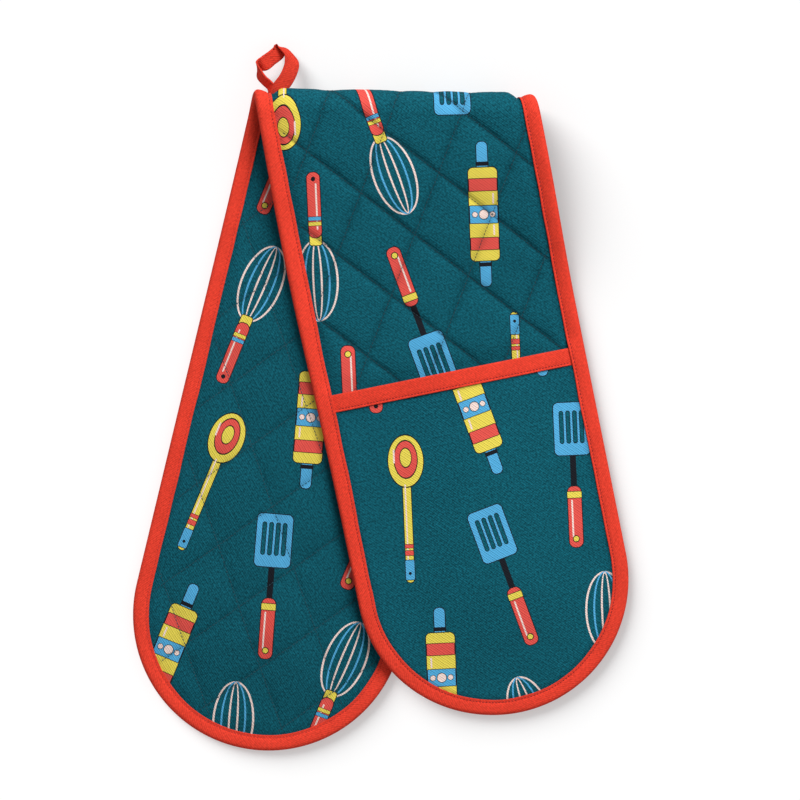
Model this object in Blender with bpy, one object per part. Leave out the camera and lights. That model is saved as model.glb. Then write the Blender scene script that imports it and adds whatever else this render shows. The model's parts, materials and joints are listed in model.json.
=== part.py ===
"""Double oven glove, folded in the middle and lying on a table.

One quilted strip with a hand pocket on each end. The rear half lies on the table with its
pocket down. The strip turns round the fold, and the front half lies on the rear half with
its pocket up. Metres, +Z up, +Y towards the fold, the origin under the middle of the glove.

Places on the strip are given as (along, across), measured on the strip laid out flat from
the middle of the fold: along is negative on the rear half and positive on the front half.
Depths are measured through the strip from its outer side, the side that the pockets are on.
"""

import bpy
import bmesh
from math import ceil, cos, floor, hypot, pi, radians, sin, sqrt, tan
from mathutils import Vector

# The strip
STRIP_WIDTH = 0.180
REAR_LENGTH = 0.445
FRONT_LENGTH = 0.418
SPLAY = radians(12.45)
SEAM_HALF = 0.0014
PUFF_HALF = 0.0032
COTTON = 0.0005
TOUCH = 0.0003

# The quilting: two families of stitched lines, each with its angle to the strip and spacing
FIRST_ANGLE = radians(41.2)
FIRST_SPACING = 0.0411
FIRST_PHASE = 0.0138
SECOND_ANGLE = radians(32.55)
SECOND_SPACING = 0.0426
SECOND_PHASE = 0.0047
PUFF_FADE = 0.014
PALM_PUFF_SHARE = 0.28

# The binding tape round the edge
BINDING_WIDTH = 0.0105
BINDING_WEB = 0.0009
BINDING_INNER_LEG = 0.0012
BINDING_ROUND = 0.0013
BINDING_ROOM = 0.0005

# The pockets
MOUTH_FROM_FOLD = 0.1875
POCKET_HOLLOW = 0.008
MOUTH_TAPE = 0.0005
MOUTH_TAPE_WIDTH = 0.0115
MOUTH_TAPE_WEB = 0.0006
LINING = 0.0005
PANEL_GAP = 0.0006
PALM_ROOM = 0.0006
RISE_START = 0.020

# How the front half lies on the rear half
LAY_GAP = 0.0006
LAY_LENGTH = 0.120
LAY_FLAT_HALF = 0.020
LAY_FALL = 0.145

# The hanging loop
LOOP_TAPE_WIDTH = 0.010
LOOP_TAPE = 0.0012
LOOP_FOOT_WIDTH = 0.006
LOOP_FOOT_ROOM = 0.0032
LOOP_LENGTH = 0.0290
LOOP_DROP = 0.0090
LOOP_FROM_EDGE = 0.0100
LOOP_SIDE_SHARES = ((0.0, 0.0), (0.23, 0.18), (0.39, 0.46), (0.365, 0.73), (0.14, 0.90),
                    (-0.14, 0.78), (-0.32, 0.57), (-0.25, 0.32), (-0.09, 0.11))
LOOP_ROLLS = (radians(40), radians(32), radians(12), radians(20), radians(58),
              radians(40), radians(72), radians(72), radians(55))

# Counts
CELL_STEPS = 2
BEND_STEPS = 8
ARC_STEPS = 14
SIDE_STEPS = 14
PANEL_STEPS_ACROSS = 8
PANEL_STEPS_ALONG = 10
LOOP_STEPS = 27

# Finishes, each a colour and a roughness
PRINTED_COTTON = ((0.010, 0.082, 0.113), 0.9)
PLAIN_LINING = ((0.016, 0.105, 0.140), 0.9)
WADDING_WHITE = ((0.85, 0.84, 0.80), 1.0)
ORANGE_TAPE = ((0.73, 0.052, 0.030), 0.85)

# Worked out through the thickness, from the outer side inwards
PANEL_OUTER = MOUTH_TAPE + TOUCH
LINING_OUTER = PANEL_OUTER + COTTON + TOUCH
PANEL_INNER = LINING_OUTER + LINING
SEAM_DEPTH = PANEL_INNER + PALM_ROOM + SEAM_HALF
LEG_INNER = SEAM_DEPTH + SEAM_HALF + BINDING_ROOM
EDGE_DEPTH = LEG_INNER + BINDING_INNER_LEG
REAR_TOP = SEAM_DEPTH + POCKET_HOLLOW + PUFF_HALF
AXIS_HEIGHT = (REAR_TOP + LAY_GAP + PUFF_HALF + SEAM_DEPTH - PANEL_OUTER + POCKET_HOLLOW) / 2
FRONT_REST = PUFF_HALF + LAY_GAP

# Worked out in plan
HALF_WIDTH = STRIP_WIDTH / 2
BEND_RADIUS = AXIS_HEIGHT - SEAM_DEPTH
HALF_BEND = BEND_RADIUS * pi / 2
FOLD_TO_MIDDLE = (HALF_BEND - AXIS_HEIGHT) / cos(SPLAY)
REAR_CENTRE = REAR_LENGTH + FOLD_TO_MIDDLE - HALF_WIDTH
FRONT_CENTRE = FRONT_LENGTH + FOLD_TO_MIDDLE - HALF_WIDTH
MOUTH = MOUTH_FROM_FOLD + FOLD_TO_MIDDLE
HEM_INSET = BINDING_WIDTH + TOUCH
RAW_INSET = BINDING_WEB + BINDING_ROOM
PANEL_INSET = BINDING_WIDTH + PANEL_GAP
FABRIC_START = MOUTH + MOUTH_TAPE_WEB + TOUCH
LINING_START = MOUTH + MOUTH_TAPE_WIDTH + TOUCH
LOOP_FOOT_OUT = AXIS_HEIGHT + LOOP_FOOT_ROOM
LOOP_FOOT_ACROSS = -HALF_WIDTH / cos(SPLAY) + LOOP_FROM_EDGE
EXTENT_LEFT = -REAR_CENTRE * sin(SPLAY) - HALF_WIDTH
EXTENT_RIGHT = FRONT_CENTRE * sin(SPLAY) + HALF_WIDTH
EXTENT_NEAR = HALF_BEND - REAR_CENTRE * cos(SPLAY) - HALF_WIDTH
EXTENT_FAR = LOOP_FOOT_OUT + LOOP_LENGTH
ORIGIN = Vector(((EXTENT_LEFT + EXTENT_RIGHT) / 2, (EXTENT_NEAR + EXTENT_FAR) / 2, 0))
LOOP_FOOT = Vector((LOOP_FOOT_ACROSS, LOOP_FOOT_OUT, AXIS_HEIGHT)) - ORIGIN


def ease(share):
    """A smooth step from 0 to 1."""
    share = min(max(share, 0), 1)
    return share * share * (3 - 2 * share)


def folded(along, across, depth):
    """The place in space of a point of the strip, with the strip folded."""
    x = along * sin(SPLAY) + across * cos(SPLAY)
    run = run_of(along, across)
    if run <= -HALF_BEND:
        y, z = run + HALF_BEND, depth
    elif run >= HALF_BEND:
        y, z = HALF_BEND - run, 2 * AXIS_HEIGHT - depth
    else:
        turn = run / BEND_RADIUS
        radius = AXIS_HEIGHT - depth
        y, z = radius * cos(turn), AXIS_HEIGHT + radius * sin(turn)
    return Vector((x, y, z)) - ORIGIN


def run_of(along, across):
    """How far a point of the flat strip lies from the fold line."""
    return along * cos(SPLAY) - across * sin(SPLAY)


def along_at(run, across):
    """Where a line that runs with the fold meets a line along the strip."""
    return (run + across * sin(SPLAY)) / cos(SPLAY)


def end_centre(along):
    return REAR_CENTRE if along < 0 else FRONT_CENTRE


def inset_of(along, across):
    """How far a point lies inside the strip's outline."""
    beyond = abs(along) - end_centre(along)
    return HALF_WIDTH - (abs(across) if beyond < 0 else hypot(across, beyond))


def dome(along, across):
    """The crown of a pocket: 0 along the binding, 1 on the middle line."""
    return ease((inset_of(along, across) - HEM_INSET) / (HALF_WIDTH - HEM_INSET))


def front_sink(along, across):
    """How far the front half lies below the top of the fold, from resting on the rear half."""
    run = run_of(along, across)
    if run <= HALF_BEND:
        return 0
    x = along * sin(SPLAY) + across * cos(SPLAY)
    rear_across = x * cos(SPLAY) + run * sin(SPLAY)
    support = 1 - ease((abs(rear_across) - LAY_FLAT_HALF) / LAY_FALL)
    lying = 2 * AXIS_HEIGHT - SEAM_DEPTH - FRONT_REST - REAR_TOP * support
    return lying * ease((run - HALF_BEND) / LAY_LENGTH)


def seam_depth(along, across):
    """Depth of the strip's middle layer where it is stitched flat."""
    if along < 0:
        rise = ease((abs(along) - RISE_START) / (MOUTH - RISE_START))
        return SEAM_DEPTH + POCKET_HOLLOW * rise * dome(along, across)
    return SEAM_DEPTH + front_sink(along, across)


def panel_depth(along, across):
    """How far a pocket's panel is moved inwards from the lie of the binding's outer face."""
    if along < 0:
        return 0
    return front_sink(along, across) - POCKET_HOLLOW * dome(along, across)


def puff(along, across):
    """The swelling between the stitched lines: 0 on a line, 1 in the middle of a diamond."""
    first = (across * cos(FIRST_ANGLE) - along * sin(FIRST_ANGLE) - FIRST_PHASE) / FIRST_SPACING
    second = (across * cos(SECOND_ANGLE) + along * sin(SECOND_ANGLE) - SECOND_PHASE) / SECOND_SPACING
    first -= floor(first)
    second -= floor(second)
    fade = ease((inset_of(along, across) - HEM_INSET) / PUFF_FADE)
    return sqrt(16 * first * (1 - first) * second * (1 - second)) * fade


def swell(along, across):
    return (PUFF_HALF - SEAM_HALF) * puff(along, across)


def inner_face(along, across):
    return seam_depth(along, across) + SEAM_HALF + swell(along, across)


def outer_face(along, across):
    """Inside the pockets the strip's face is flatter, pressed by the hand."""
    pressed = ease((abs(along) - MOUTH) / MOUTH_TAPE_WIDTH + 1)
    share = 1 + (PALM_PUFF_SHARE - 1) * pressed
    return seam_depth(along, across) - SEAM_HALF - swell(along, across) * share


def hem_place(along, across, inset):
    """A point on the line of the hem, moved out or in to another inset from the edge.

    Near the fold the move follows the fold line, so that neighbours meet on one line."""
    beyond = abs(along) - end_centre(along)
    if beyond > 0:
        grow = (HALF_WIDTH - inset) / (HALF_WIDTH - HEM_INSET)
        side = -1 if along < 0 else 1
        return side * (end_centre(along) + beyond * grow), across * grow
    target = (HALF_WIDTH - inset) * (1 if across > 0 else -1)
    from_fold = abs(run_of(along, across)) - HALF_BEND
    follow = 1 - ease(from_fold / LAY_LENGTH)
    return along + (target - across) * tan(SPLAY) * follow, target


def lattice_place(first, second):
    """Where a line of the first family crosses a line of the second."""
    first = first * FIRST_SPACING + FIRST_PHASE
    second = second * SECOND_SPACING + SECOND_PHASE
    between = sin(FIRST_ANGLE + SECOND_ANGLE)
    along = (cos(FIRST_ANGLE) * second - cos(SECOND_ANGLE) * first) / between
    across = (sin(SECOND_ANGLE) * first + sin(FIRST_ANGLE) * second) / between
    return along, across


def lattice_sheet(steps):
    """A flat sheet of diamonds that covers the strip, each divided into steps by steps."""
    reach = REAR_LENGTH + HALF_WIDTH
    first_cells = ceil(reach / FIRST_SPACING)
    second_cells = ceil(reach / SECOND_SPACING)
    bm = bmesh.new()
    bmesh.ops.create_grid(bm, x_segments=2 * first_cells * steps,
                          y_segments=2 * second_cells * steps, size=1)
    for vert in bm.verts:
        along, across = lattice_place(vert.co.x * first_cells, vert.co.y * second_cells)
        vert.co = (along, across, 0)
    return bm


def cut(bm, along, across, normal, clear=True):
    """Cut a flat sheet along a line, and drop what lies beyond it."""
    bmesh.ops.bisect_plane(bm, geom=bm.verts[:] + bm.edges[:] + bm.faces[:],
                           plane_co=(along, across, 0), plane_no=(*normal, 0), clear_outer=clear)


def cut_at_run(bm, run, side, clear=True):
    cut(bm, run / cos(SPLAY), 0, (side * cos(SPLAY), -side * sin(SPLAY)), clear)


def cut_sides(bm, inset):
    for side in (-1, 1):
        cut(bm, 0, side * (HALF_WIDTH - inset), (0, side))


def cut_round_end(bm, half, inset):
    """Cut the round end of a half, as a row of short straight cuts."""
    centre = half * end_centre(half)
    for step in range(ARC_STEPS):
        angle = ((step + 0.5) / ARC_STEPS - 0.5) * pi
        radius = (HALF_WIDTH - inset) * cos(pi / ARC_STEPS / 2)
        normal = (half * cos(angle), sin(angle))
        cut(bm, centre + radius * normal[0], radius * normal[1], normal)


def add_hem(bm, runs):
    """Widen a flat sheet from the hem line to its raw edge, inside the binding."""
    def on_fold_line(edge):
        ends = [run_of(vert.co.x, vert.co.y) for vert in edge.verts]
        return any(max(abs(end - run) for end in ends) < TOUCH / 10 for run in runs)

    rim = [edge for edge in bm.edges if edge.is_boundary and not on_fold_line(edge)]
    grown = bmesh.ops.extrude_edge_only(bm, edges=rim)["geom"]
    for vert in (item for item in grown if isinstance(item, bmesh.types.BMVert)):
        vert.co = (*hem_place(vert.co.x, vert.co.y, RAW_INSET), 0)


def strip_plan(half):
    """The flat plan of one half of the strip: -1 the rear, 1 the front, 0 the fold."""
    bm = lattice_sheet(CELL_STEPS)
    cut_sides(bm, HEM_INSET)
    if half:
        runs = [half * (HALF_BEND + TOUCH / 2)]
        cut_at_run(bm, runs[0], -half)
        cut_round_end(bm, half, HEM_INSET)
    else:
        runs = [bend_run(0), bend_run(BEND_STEPS)]
        cut_at_run(bm, runs[0], -1)
        cut_at_run(bm, runs[1], 1)
        for step in range(1, BEND_STEPS):
            cut_at_run(bm, bend_run(step), 1, clear=False)
    add_hem(bm, runs)
    return bm


def bend_run(step):
    """The runs of the lines at which the fold is bent."""
    reach = HALF_BEND - TOUCH / 2
    return reach * (2 * step / BEND_STEPS - 1)


def panel_plan(half, start):
    """The flat plan of a pocket's layer, from a line across the strip to the round end."""
    bm = bmesh.new()
    end = end_centre(half) + HALF_WIDTH
    steps = (PANEL_STEPS_ALONG, PANEL_STEPS_ACROSS) if half > 0 else (1, 1)
    bmesh.ops.create_grid(bm, x_segments=steps[0], y_segments=steps[1], size=1)
    for vert in bm.verts:
        vert.co = (half * (MOUTH + (vert.co.x + 1) / 2 * (end - MOUTH)), vert.co.y * HALF_WIDTH, 0)
    cut(bm, half * LINING_START, 0, (-half, 0), clear=False)
    cut(bm, half * start, 0, (-half, 0))
    cut_sides(bm, PANEL_INSET)
    cut_round_end(bm, half, PANEL_INSET)
    return bm


def panel_lines(half):
    """The places across a pocket at which its layers and its mouth tape bend."""
    reach = HALF_WIDTH - PANEL_INSET
    if half < 0:
        return [-reach, reach]
    lines = [HALF_WIDTH * (2 * step / PANEL_STEPS_ACROSS - 1)
             for step in range(PANEL_STEPS_ACROSS + 1)]
    return [-reach] + [line for line in lines if abs(line) < reach] + [reach]


def thicken(bm, outer, inner):
    """Turn a flat plan into a closed layer between two depths, lying where the strip lies."""
    bmesh.ops.triangulate(bm, faces=bm.faces[:])
    grown = bmesh.ops.extrude_face_region(bm, geom=bm.faces[:])["geom"]
    raised = {item for item in grown if isinstance(item, bmesh.types.BMVert)}
    for vert in bm.verts:
        along, across = vert.co.x, vert.co.y
        depth = inner(along, across) if vert in raised else outer(along, across)
        vert.co = folded(along, across, depth)
    return bm


def tube(rings, closed):
    """A closed surface through a row of rings, each a list of points in the same order."""
    count = len(rings[0])
    rows = rings + rings[:1] if closed else rings
    bm = bmesh.new()
    bmesh.ops.create_grid(bm, x_segments=count, y_segments=len(rows) - 1, size=1)
    bm.verts.ensure_lookup_table()
    for index, vert in enumerate(bm.verts[:]):
        row, place = divmod(index, count + 1)
        vert.co = rows[row][place % count]
    bmesh.ops.remove_doubles(bm, verts=bm.verts[:], dist=TOUCH / 100)
    bmesh.ops.holes_fill(bm, edges=[edge for edge in bm.edges if edge.is_boundary])
    return bm


def binding_ring(along, across):
    """The folded tape's section at a point of the hem line, as a ring of points."""
    profile = ((BINDING_ROUND, 0), (BINDING_WIDTH, 0), (BINDING_WIDTH, PANEL_INNER),
               (BINDING_WEB, PANEL_INNER), (BINDING_WEB, LEG_INNER), (BINDING_WIDTH, LEG_INNER),
               (BINDING_WIDTH, EDGE_DEPTH), (BINDING_ROUND, EDGE_DEPTH),
               (0, EDGE_DEPTH - BINDING_ROUND), (0, BINDING_ROUND))
    ring = []
    for inset, depth in profile:
        place = hem_place(along, across, inset)
        ring.append(folded(*place, depth + front_sink(*place)))
    return ring


def half_binding_rings(half):
    """Round one half from its right end of the fold to its left end."""
    radius = HALF_WIDTH - HEM_INSET
    centre = half * end_centre(half)
    steps = SIDE_STEPS if half > 0 else 1
    right, left = [], []
    for side, row in ((1, right), (-1, left)):
        start = along_at(half * (HALF_BEND + TOUCH / 2), side * radius)
        for step in range(steps):
            row.append((start + (centre - start) * step / steps, side * radius))
    arc = []
    for step in range(ARC_STEPS + 1):
        angle = step / ARC_STEPS * pi
        arc.append((centre + half * radius * sin(angle), radius * cos(angle)))
    return [binding_ring(*place) for place in right + arc + left[::-1]]


def fold_binding_rings(side):
    across = side * (HALF_WIDTH - HEM_INSET)
    runs = [bend_run(step) for step in range(BEND_STEPS + 1)]
    return [binding_ring(along_at(run, across), across) for run in runs]


def mouth_binding_rings(half):
    """The folded tape on a pocket's mouth, from side to side."""
    profile = ((0, 0), (0, PANEL_INNER), (MOUTH_TAPE_WIDTH, PANEL_INNER),
               (MOUTH_TAPE_WIDTH, LINING_OUTER), (MOUTH_TAPE_WEB, LINING_OUTER),
               (MOUTH_TAPE_WEB, MOUTH_TAPE), (MOUTH_TAPE_WIDTH, MOUTH_TAPE), (MOUTH_TAPE_WIDTH, 0))
    rings = []
    for across in panel_lines(half):
        ring = []
        for back, depth in profile:
            along = half * (MOUTH + back)
            ring.append(folded(along, across, depth + panel_depth(along, across)))
        rings.append(ring)
    return rings


def smooth_ring(values, share):
    """A value on the smooth closed curve through a ring of values."""
    place = share * len(values)
    index = floor(place)
    part = place - index
    before, here, after, last = (values[(index + shift) % len(values)] for shift in (-1, 0, 1, 2))
    return (here + (after - before) * part / 2
            + (2 * before - 5 * here + 4 * after - last) * part ** 2 / 2
            + (3 * here - before - 3 * after + last) * part ** 3 / 2)


def loop_rings():
    """The tape of the hanging loop: out of its foot to the right and back to it from the left."""
    points = [Vector((across * LOOP_LENGTH, out * LOOP_LENGTH, -out * LOOP_DROP))
              for across, out in LOOP_SIDE_SHARES]
    widths = [LOOP_FOOT_WIDTH] + [LOOP_TAPE_WIDTH] * (len(points) - 1)
    near = 1 / LOOP_STEPS / 2
    rings = []
    for step in range(LOOP_STEPS):
        share = step / LOOP_STEPS
        centre = LOOP_FOOT + smooth_ring(points, share)
        ahead = smooth_ring(points, share + near) - smooth_ring(points, share - near)
        ahead.normalize()
        flat = ahead.cross(Vector((0, 0, 1))).normalized()
        up = flat.cross(ahead)
        roll = smooth_ring(LOOP_ROLLS, share)
        half_width = smooth_ring(widths, share) / 2
        wide = (flat * cos(roll) + up * sin(roll)) * half_width
        thick = (up * cos(roll) - flat * sin(roll)) * LOOP_TAPE / 2
        rings.append([centre - wide - thick, centre + wide - thick,
                      centre + wide + thick, centre - wide + thick])
    return rings


def make_material(name, colour, roughness):
    material = bpy.data.materials.new(name)
    material.use_nodes = True
    shader = material.node_tree.nodes["Principled BSDF"]
    shader.inputs["Base Color"].default_value = (*colour, 1)
    shader.inputs["Roughness"].default_value = roughness
    shader.inputs["Metallic"].default_value = 0
    return material


def make_pivot(name, place, parent=None):
    pivot = bpy.data.objects.new(name, None)
    bpy.context.collection.objects.link(pivot)
    pivot.parent = parent
    pivot.location = place - (parent.matrix_world.translation if parent else Vector())
    bpy.context.view_layer.update()
    return pivot


def make_piece(name, bm, finish, pivot):
    """Finish a mesh as one named piece that hangs on its pivot."""
    bmesh.ops.triangulate(bm, faces=bm.faces[:])
    bmesh.ops.recalc_face_normals(bm, faces=bm.faces[:])
    bmesh.ops.translate(bm, verts=bm.verts[:], vec=-pivot.matrix_world.translation)
    mesh = bpy.data.meshes.new(name)
    bm.to_mesh(mesh)
    bm.free()
    mesh.shade_smooth()
    mesh.set_sharp_from_angle(angle=radians(35))
    piece = bpy.data.objects.new(name, mesh)
    piece.data.materials.append(make_material(name, *finish))
    piece.parent = pivot
    bpy.context.collection.objects.link(piece)


def make_strip(name, half, pivot):
    """The three layers of one stretch of the strip."""
    def outer_cotton_inside(along, across):
        return outer_face(along, across) + COTTON

    def inner_cotton_inside(along, across):
        return inner_face(along, across) - COTTON

    def wadding_outside(along, across):
        return outer_cotton_inside(along, across) + TOUCH

    def wadding_inside(along, across):
        return inner_cotton_inside(along, across) - TOUCH

    for layer, outer, inner, finish in (
            ("_outer_fabric", outer_face, outer_cotton_inside, PRINTED_COTTON),
            ("_wadding", wadding_outside, wadding_inside, WADDING_WHITE),
            ("_inner_fabric", inner_cotton_inside, inner_face, PRINTED_COTTON)):
        make_piece(name + layer, thicken(strip_plan(half), outer, inner), finish, pivot)


def make_pocket(name, half, pivot):
    """A pocket's panel and lining, and the tape on its mouth."""
    def at_depth(depth):
        return lambda along, across: depth + panel_depth(along, across)

    fabric = thicken(panel_plan(half, FABRIC_START),
                     at_depth(PANEL_OUTER), at_depth(PANEL_OUTER + COTTON))
    lining = thicken(panel_plan(half, LINING_START), at_depth(LINING_OUTER), at_depth(PANEL_INNER))
    mouth = tube(mouth_binding_rings(half), closed=False)
    make_piece(name + "_fabric", fabric, PRINTED_COTTON, pivot)
    make_piece(name + "_lining", lining, PLAIN_LINING, pivot)
    make_piece(name + "_mouth_binding", mouth, ORANGE_TAPE, pivot)


def pocket_hinge(half):
    """The middle of the line on which a pocket's panel turns, at its round end."""
    along = half * (end_centre(half) + HALF_WIDTH - PANEL_INSET)
    return folded(along, 0, PANEL_OUTER + panel_depth(along, 0))


def main():
    for old in list(bpy.data.objects):
        bpy.data.objects.remove(old)
    axis = Vector((0, 0, AXIS_HEIGHT)) - ORIGIN
    rear = make_pivot("rear_half_frame", Vector())
    middle = make_pivot("fold_middle_pivot", axis, rear)
    front = make_pivot("front_half_pivot", axis, rear)
    loop = make_pivot("hanging_loop_pivot", LOOP_FOOT, middle)
    make_strip("rear", -1, rear)
    make_strip("front", 1, front)
    make_strip("fold", 0, middle)
    for name, rings, pivot in (("rear_edge_binding", half_binding_rings(-1), rear),
                               ("front_edge_binding", half_binding_rings(1), front),
                               ("fold_left_binding", fold_binding_rings(-1), middle),
                               ("fold_right_binding", fold_binding_rings(1), middle)):
        make_piece(name, tube(rings, closed=False), ORANGE_TAPE, pivot)
    make_pocket("rear_pocket", -1, make_pivot("rear_pocket_pivot", pocket_hinge(-1), rear))
    make_pocket("front_pocket", 1, make_pivot("front_pocket_pivot", pocket_hinge(1), front))
    make_piece("hanging_loop", tube(loop_rings(), closed=True), ORANGE_TAPE, loop)


main()
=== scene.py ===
"""Double oven glove, folded in the middle and lying on a pale floor.

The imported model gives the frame. This file dresses it: quilted cotton on both sides of the
wadding, pockets with their lining, folded tape on the edges and the pocket mouths, the
stitching and the hanging loop.

Places on the strip are given as (along, across), measured on the strip laid out flat from
the middle of the fold: along is negative on the rear half and positive on the front half.
Depths are measured through the strip from its outer side, the side that the pockets are on.
"""

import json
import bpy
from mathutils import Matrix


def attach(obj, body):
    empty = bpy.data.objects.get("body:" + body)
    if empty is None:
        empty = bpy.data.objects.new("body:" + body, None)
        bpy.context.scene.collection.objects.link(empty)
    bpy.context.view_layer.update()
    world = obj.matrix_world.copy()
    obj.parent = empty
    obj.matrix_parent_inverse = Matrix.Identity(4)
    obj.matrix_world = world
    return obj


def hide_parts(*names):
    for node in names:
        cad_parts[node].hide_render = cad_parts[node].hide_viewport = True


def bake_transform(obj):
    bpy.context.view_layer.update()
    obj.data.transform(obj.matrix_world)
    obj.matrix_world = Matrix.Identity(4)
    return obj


bl_info = {
    "name": "Double Oven Glove",
    "version": (1, 0, 0),
    "blender": (4, 5, 0),
    "location": "3D View > Sidebar > Oven Glove",
    "description": "Dresses a folded double oven glove in quilted cotton, tape and stitching",
    "category": "Object",
}

from math import ceil, cos, exp, floor, hypot, pi, radians, sin, sqrt, tan

import bmesh
import bpy
from mathutils import Matrix, Vector, noise

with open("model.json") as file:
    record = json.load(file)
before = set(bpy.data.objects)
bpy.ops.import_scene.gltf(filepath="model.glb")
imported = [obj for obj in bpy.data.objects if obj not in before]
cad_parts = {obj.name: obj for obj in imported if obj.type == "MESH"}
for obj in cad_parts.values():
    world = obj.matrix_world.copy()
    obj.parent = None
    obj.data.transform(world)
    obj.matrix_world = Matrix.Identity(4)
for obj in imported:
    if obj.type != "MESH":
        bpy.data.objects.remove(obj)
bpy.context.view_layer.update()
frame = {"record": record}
JOINT_PLACES = {joint["name"]: Vector(joint["pos_m"])
                for joint in frame["record"]["behaviour"]["joints"]}
MM = 0.001

# The strip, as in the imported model: its size, layers and quilting, and how the front half lies
STRIP_WIDTH = 0.180
REAR_LENGTH = 0.445
FRONT_LENGTH = 0.418
SPLAY = radians(12.45)
SEAM_HALF = 0.0014
PUFF_HALF = 0.0032
COTTON = 0.0005
TOUCH = 0.0003
FIRST_ANGLE = radians(41.2)
FIRST_SPACING = 0.0411
FIRST_PHASE = 0.0138
SECOND_ANGLE = radians(32.55)
SECOND_SPACING = 0.0426
SECOND_PHASE = 0.0047
PALM_PUFF_SHARE = 0.28
BINDING_WIDTH = 0.0105
MOUTH_FROM_FOLD = 0.1875
POCKET_HOLLOW = 0.008
MOUTH_TAPE = 0.0005
MOUTH_TAPE_WIDTH = 0.0115
LINING = 0.0005
PALM_ROOM = 0.0006
RISE_START = 0.020
LAY_GAP = 0.0006
LAY_LENGTH = 0.120
LAY_FLAT_HALF = 0.020
LAY_FALL = 0.145
LOOP_LENGTH = 0.0290
LOOP_DROP = 0.0090
LOOP_TAPE_WIDTH = 0.010
LOOP_TAPE = 0.0012

# The relief of the quilted cloth. The sharp values say how steeply it rises beside each family.
CLOTH_FADE = 0.008
OUTER_FULLNESS = 1.22
OUTER_SHARP = (4, 3)
INNER_SHARP = (2.2, 2.4)
CREST_REACH = 0.013
CREST_FILL = 0.6
CREST_FULLNESS = 0.0014
CREASE_REACH = 0.0015
CREASE_SPREAD = 0.0024
CREASE_DEPTH = 0.00045
# CREASE_SHADE is the share of the colour left where the cloth is most creased: painted shade.
CREASE_SHADE = 0.60
SECOND_CREASE = 0.5
EDGE_CREASE = 0.9
FIRST_PUCKER = 0.00095
SECOND_PUCKER = 0.00090
PUCKER_REACH = 0.0060
PUCKERS_PER_METRE = 190
SLACK = 0.00030
SLACK_PER_METRE = 38

# The relief of the pockets' panels
DIP = 0.00085
DIP_START = 0.0030
DIP_WIDTH = 0.0028
DIP_LENGTH = 0.004
PANEL_DIP_SHARE = 0.8
LINING_START = 0.0070
PANEL_START = 0.0008
PANEL_FADE = 0.012
WAVE = 0.00055
WAVES_PER_METRE = (21, 27)
RIPPLE = 0.00022
RIPPLES_PER_METRE = 60
RIM_RIPPLES_PER_METRE = 150
RIPPLE_FADE = 0.009
OTHER_EDGE = 0.5

# The left edge swings out beside the fold: how far at most, where along the strip, how widely,
# and how much less of it is left at the tape's inner edge
SWING = 0.0031
SWING_AT = 0.105
SWING_REACH = 0.100
SWING_TAPER = 0.6

# The loop's tape: how far its ends cross, its length, and the painted shade on its near run and how far
# along it reaches
LOOP_OVER = 0.0010
LOOP_TAPE_RUN = 0.088
LOOP_PAINTED_SHADE = 0.85
LOOP_PAINTED_SHADE_RUN = 0.053

# The loop's middle line from foot to foot: the way across and out as shares of its length, the
# roll of the tape in degrees and its width in millimetres
LOOP_LINE = (
    (0.18, -0.24, -15, 10.0), (0.23, -0.08, -14, 10.2), (0.36, 0.12, -12, 10.2),
    (0.45, 0.32, -12, 10.2), (0.49, 0.52, -22, 10.2), (0.43, 0.71, -58, 10.0),
    (0.29, 0.86, -70, 10.0), (0.15, 0.90, -98, 10.0), (0.18, 0.79, -150, 10.0),
    (0.01, 0.63, -150, 10.0), (-0.14, 0.51, -160, 10.0), (-0.28, 0.47, -105, 10.0),
    (-0.24, 0.26, -62, 9.5), (-0.13, 0.11, -55, 8.5), (0.03, -0.04, -42, 7.0),
    (0.07, -0.25, -35, 6.0),
)

# Worked out through the thickness, from the outer side inwards
PANEL_OUTER = MOUTH_TAPE + TOUCH
LINING_OUTER = PANEL_OUTER + COTTON + TOUCH
PANEL_INNER = LINING_OUTER + LINING
SEAM_DEPTH = PANEL_INNER + PALM_ROOM + SEAM_HALF
EDGE_DEPTH = 0.0072
REAR_TOP = SEAM_DEPTH + POCKET_HOLLOW + PUFF_HALF
AXIS_HEIGHT = JOINT_PLACES["fold_open"].z
FRONT_REST = PUFF_HALF + LAY_GAP

# Worked out in plan
HALF_WIDTH = STRIP_WIDTH / 2
BEND_RADIUS = AXIS_HEIGHT - SEAM_DEPTH
HALF_BEND = BEND_RADIUS * pi / 2
FOLD_TO_MIDDLE = (HALF_BEND - AXIS_HEIGHT) / cos(SPLAY)
REAR_CENTRE = REAR_LENGTH + FOLD_TO_MIDDLE - HALF_WIDTH
FRONT_CENTRE = FRONT_LENGTH + FOLD_TO_MIDDLE - HALF_WIDTH
MOUTH = MOUTH_FROM_FOLD + FOLD_TO_MIDDLE
HEM_INSET = BINDING_WIDTH + TOUCH
ORIGIN = Vector((-JOINT_PLACES["fold_open"].x, -JOINT_PLACES["fold_open"].y, 0))

# How finely the pieces are divided
CELL_STEPS = 22
PANEL_STEP = 0.0022
TAPE_STEP = 0.0024
LOOP_STEPS = 132
CLOSER = 0.45
HIDDEN_EDGE = 0.006
PANEL_EDGE = 0.004
RIM = 0.004


def linear(red, green, blue):
    """A colour given as screen values from 0 to 255."""
    shares = [value / 255 for value in (red, green, blue)]
    return tuple(s / 12.92 if s < 0.04045 else ((s + 0.055) / 1.055) ** 2.4 for s in shares)


def ease(share):
    """A smooth step from 0 to 1."""
    share = min(max(share, 0), 1)
    return share * share * (3 - 2 * share)


def bump(distance, reach):
    """1 at no distance, falling smoothly to 0 beyond the reach."""
    return exp(-(distance / reach) ** 2)


def wobble(x, y, seed):
    """Smooth noise from -1 to 1, for the unevenness of cloth."""
    return noise.noise(Vector((x, y, seed)))


# The lie of the strip


def run_of(along, across):
    """How far a point of the flat strip lies from the fold line."""
    return along * cos(SPLAY) - across * sin(SPLAY)


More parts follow.
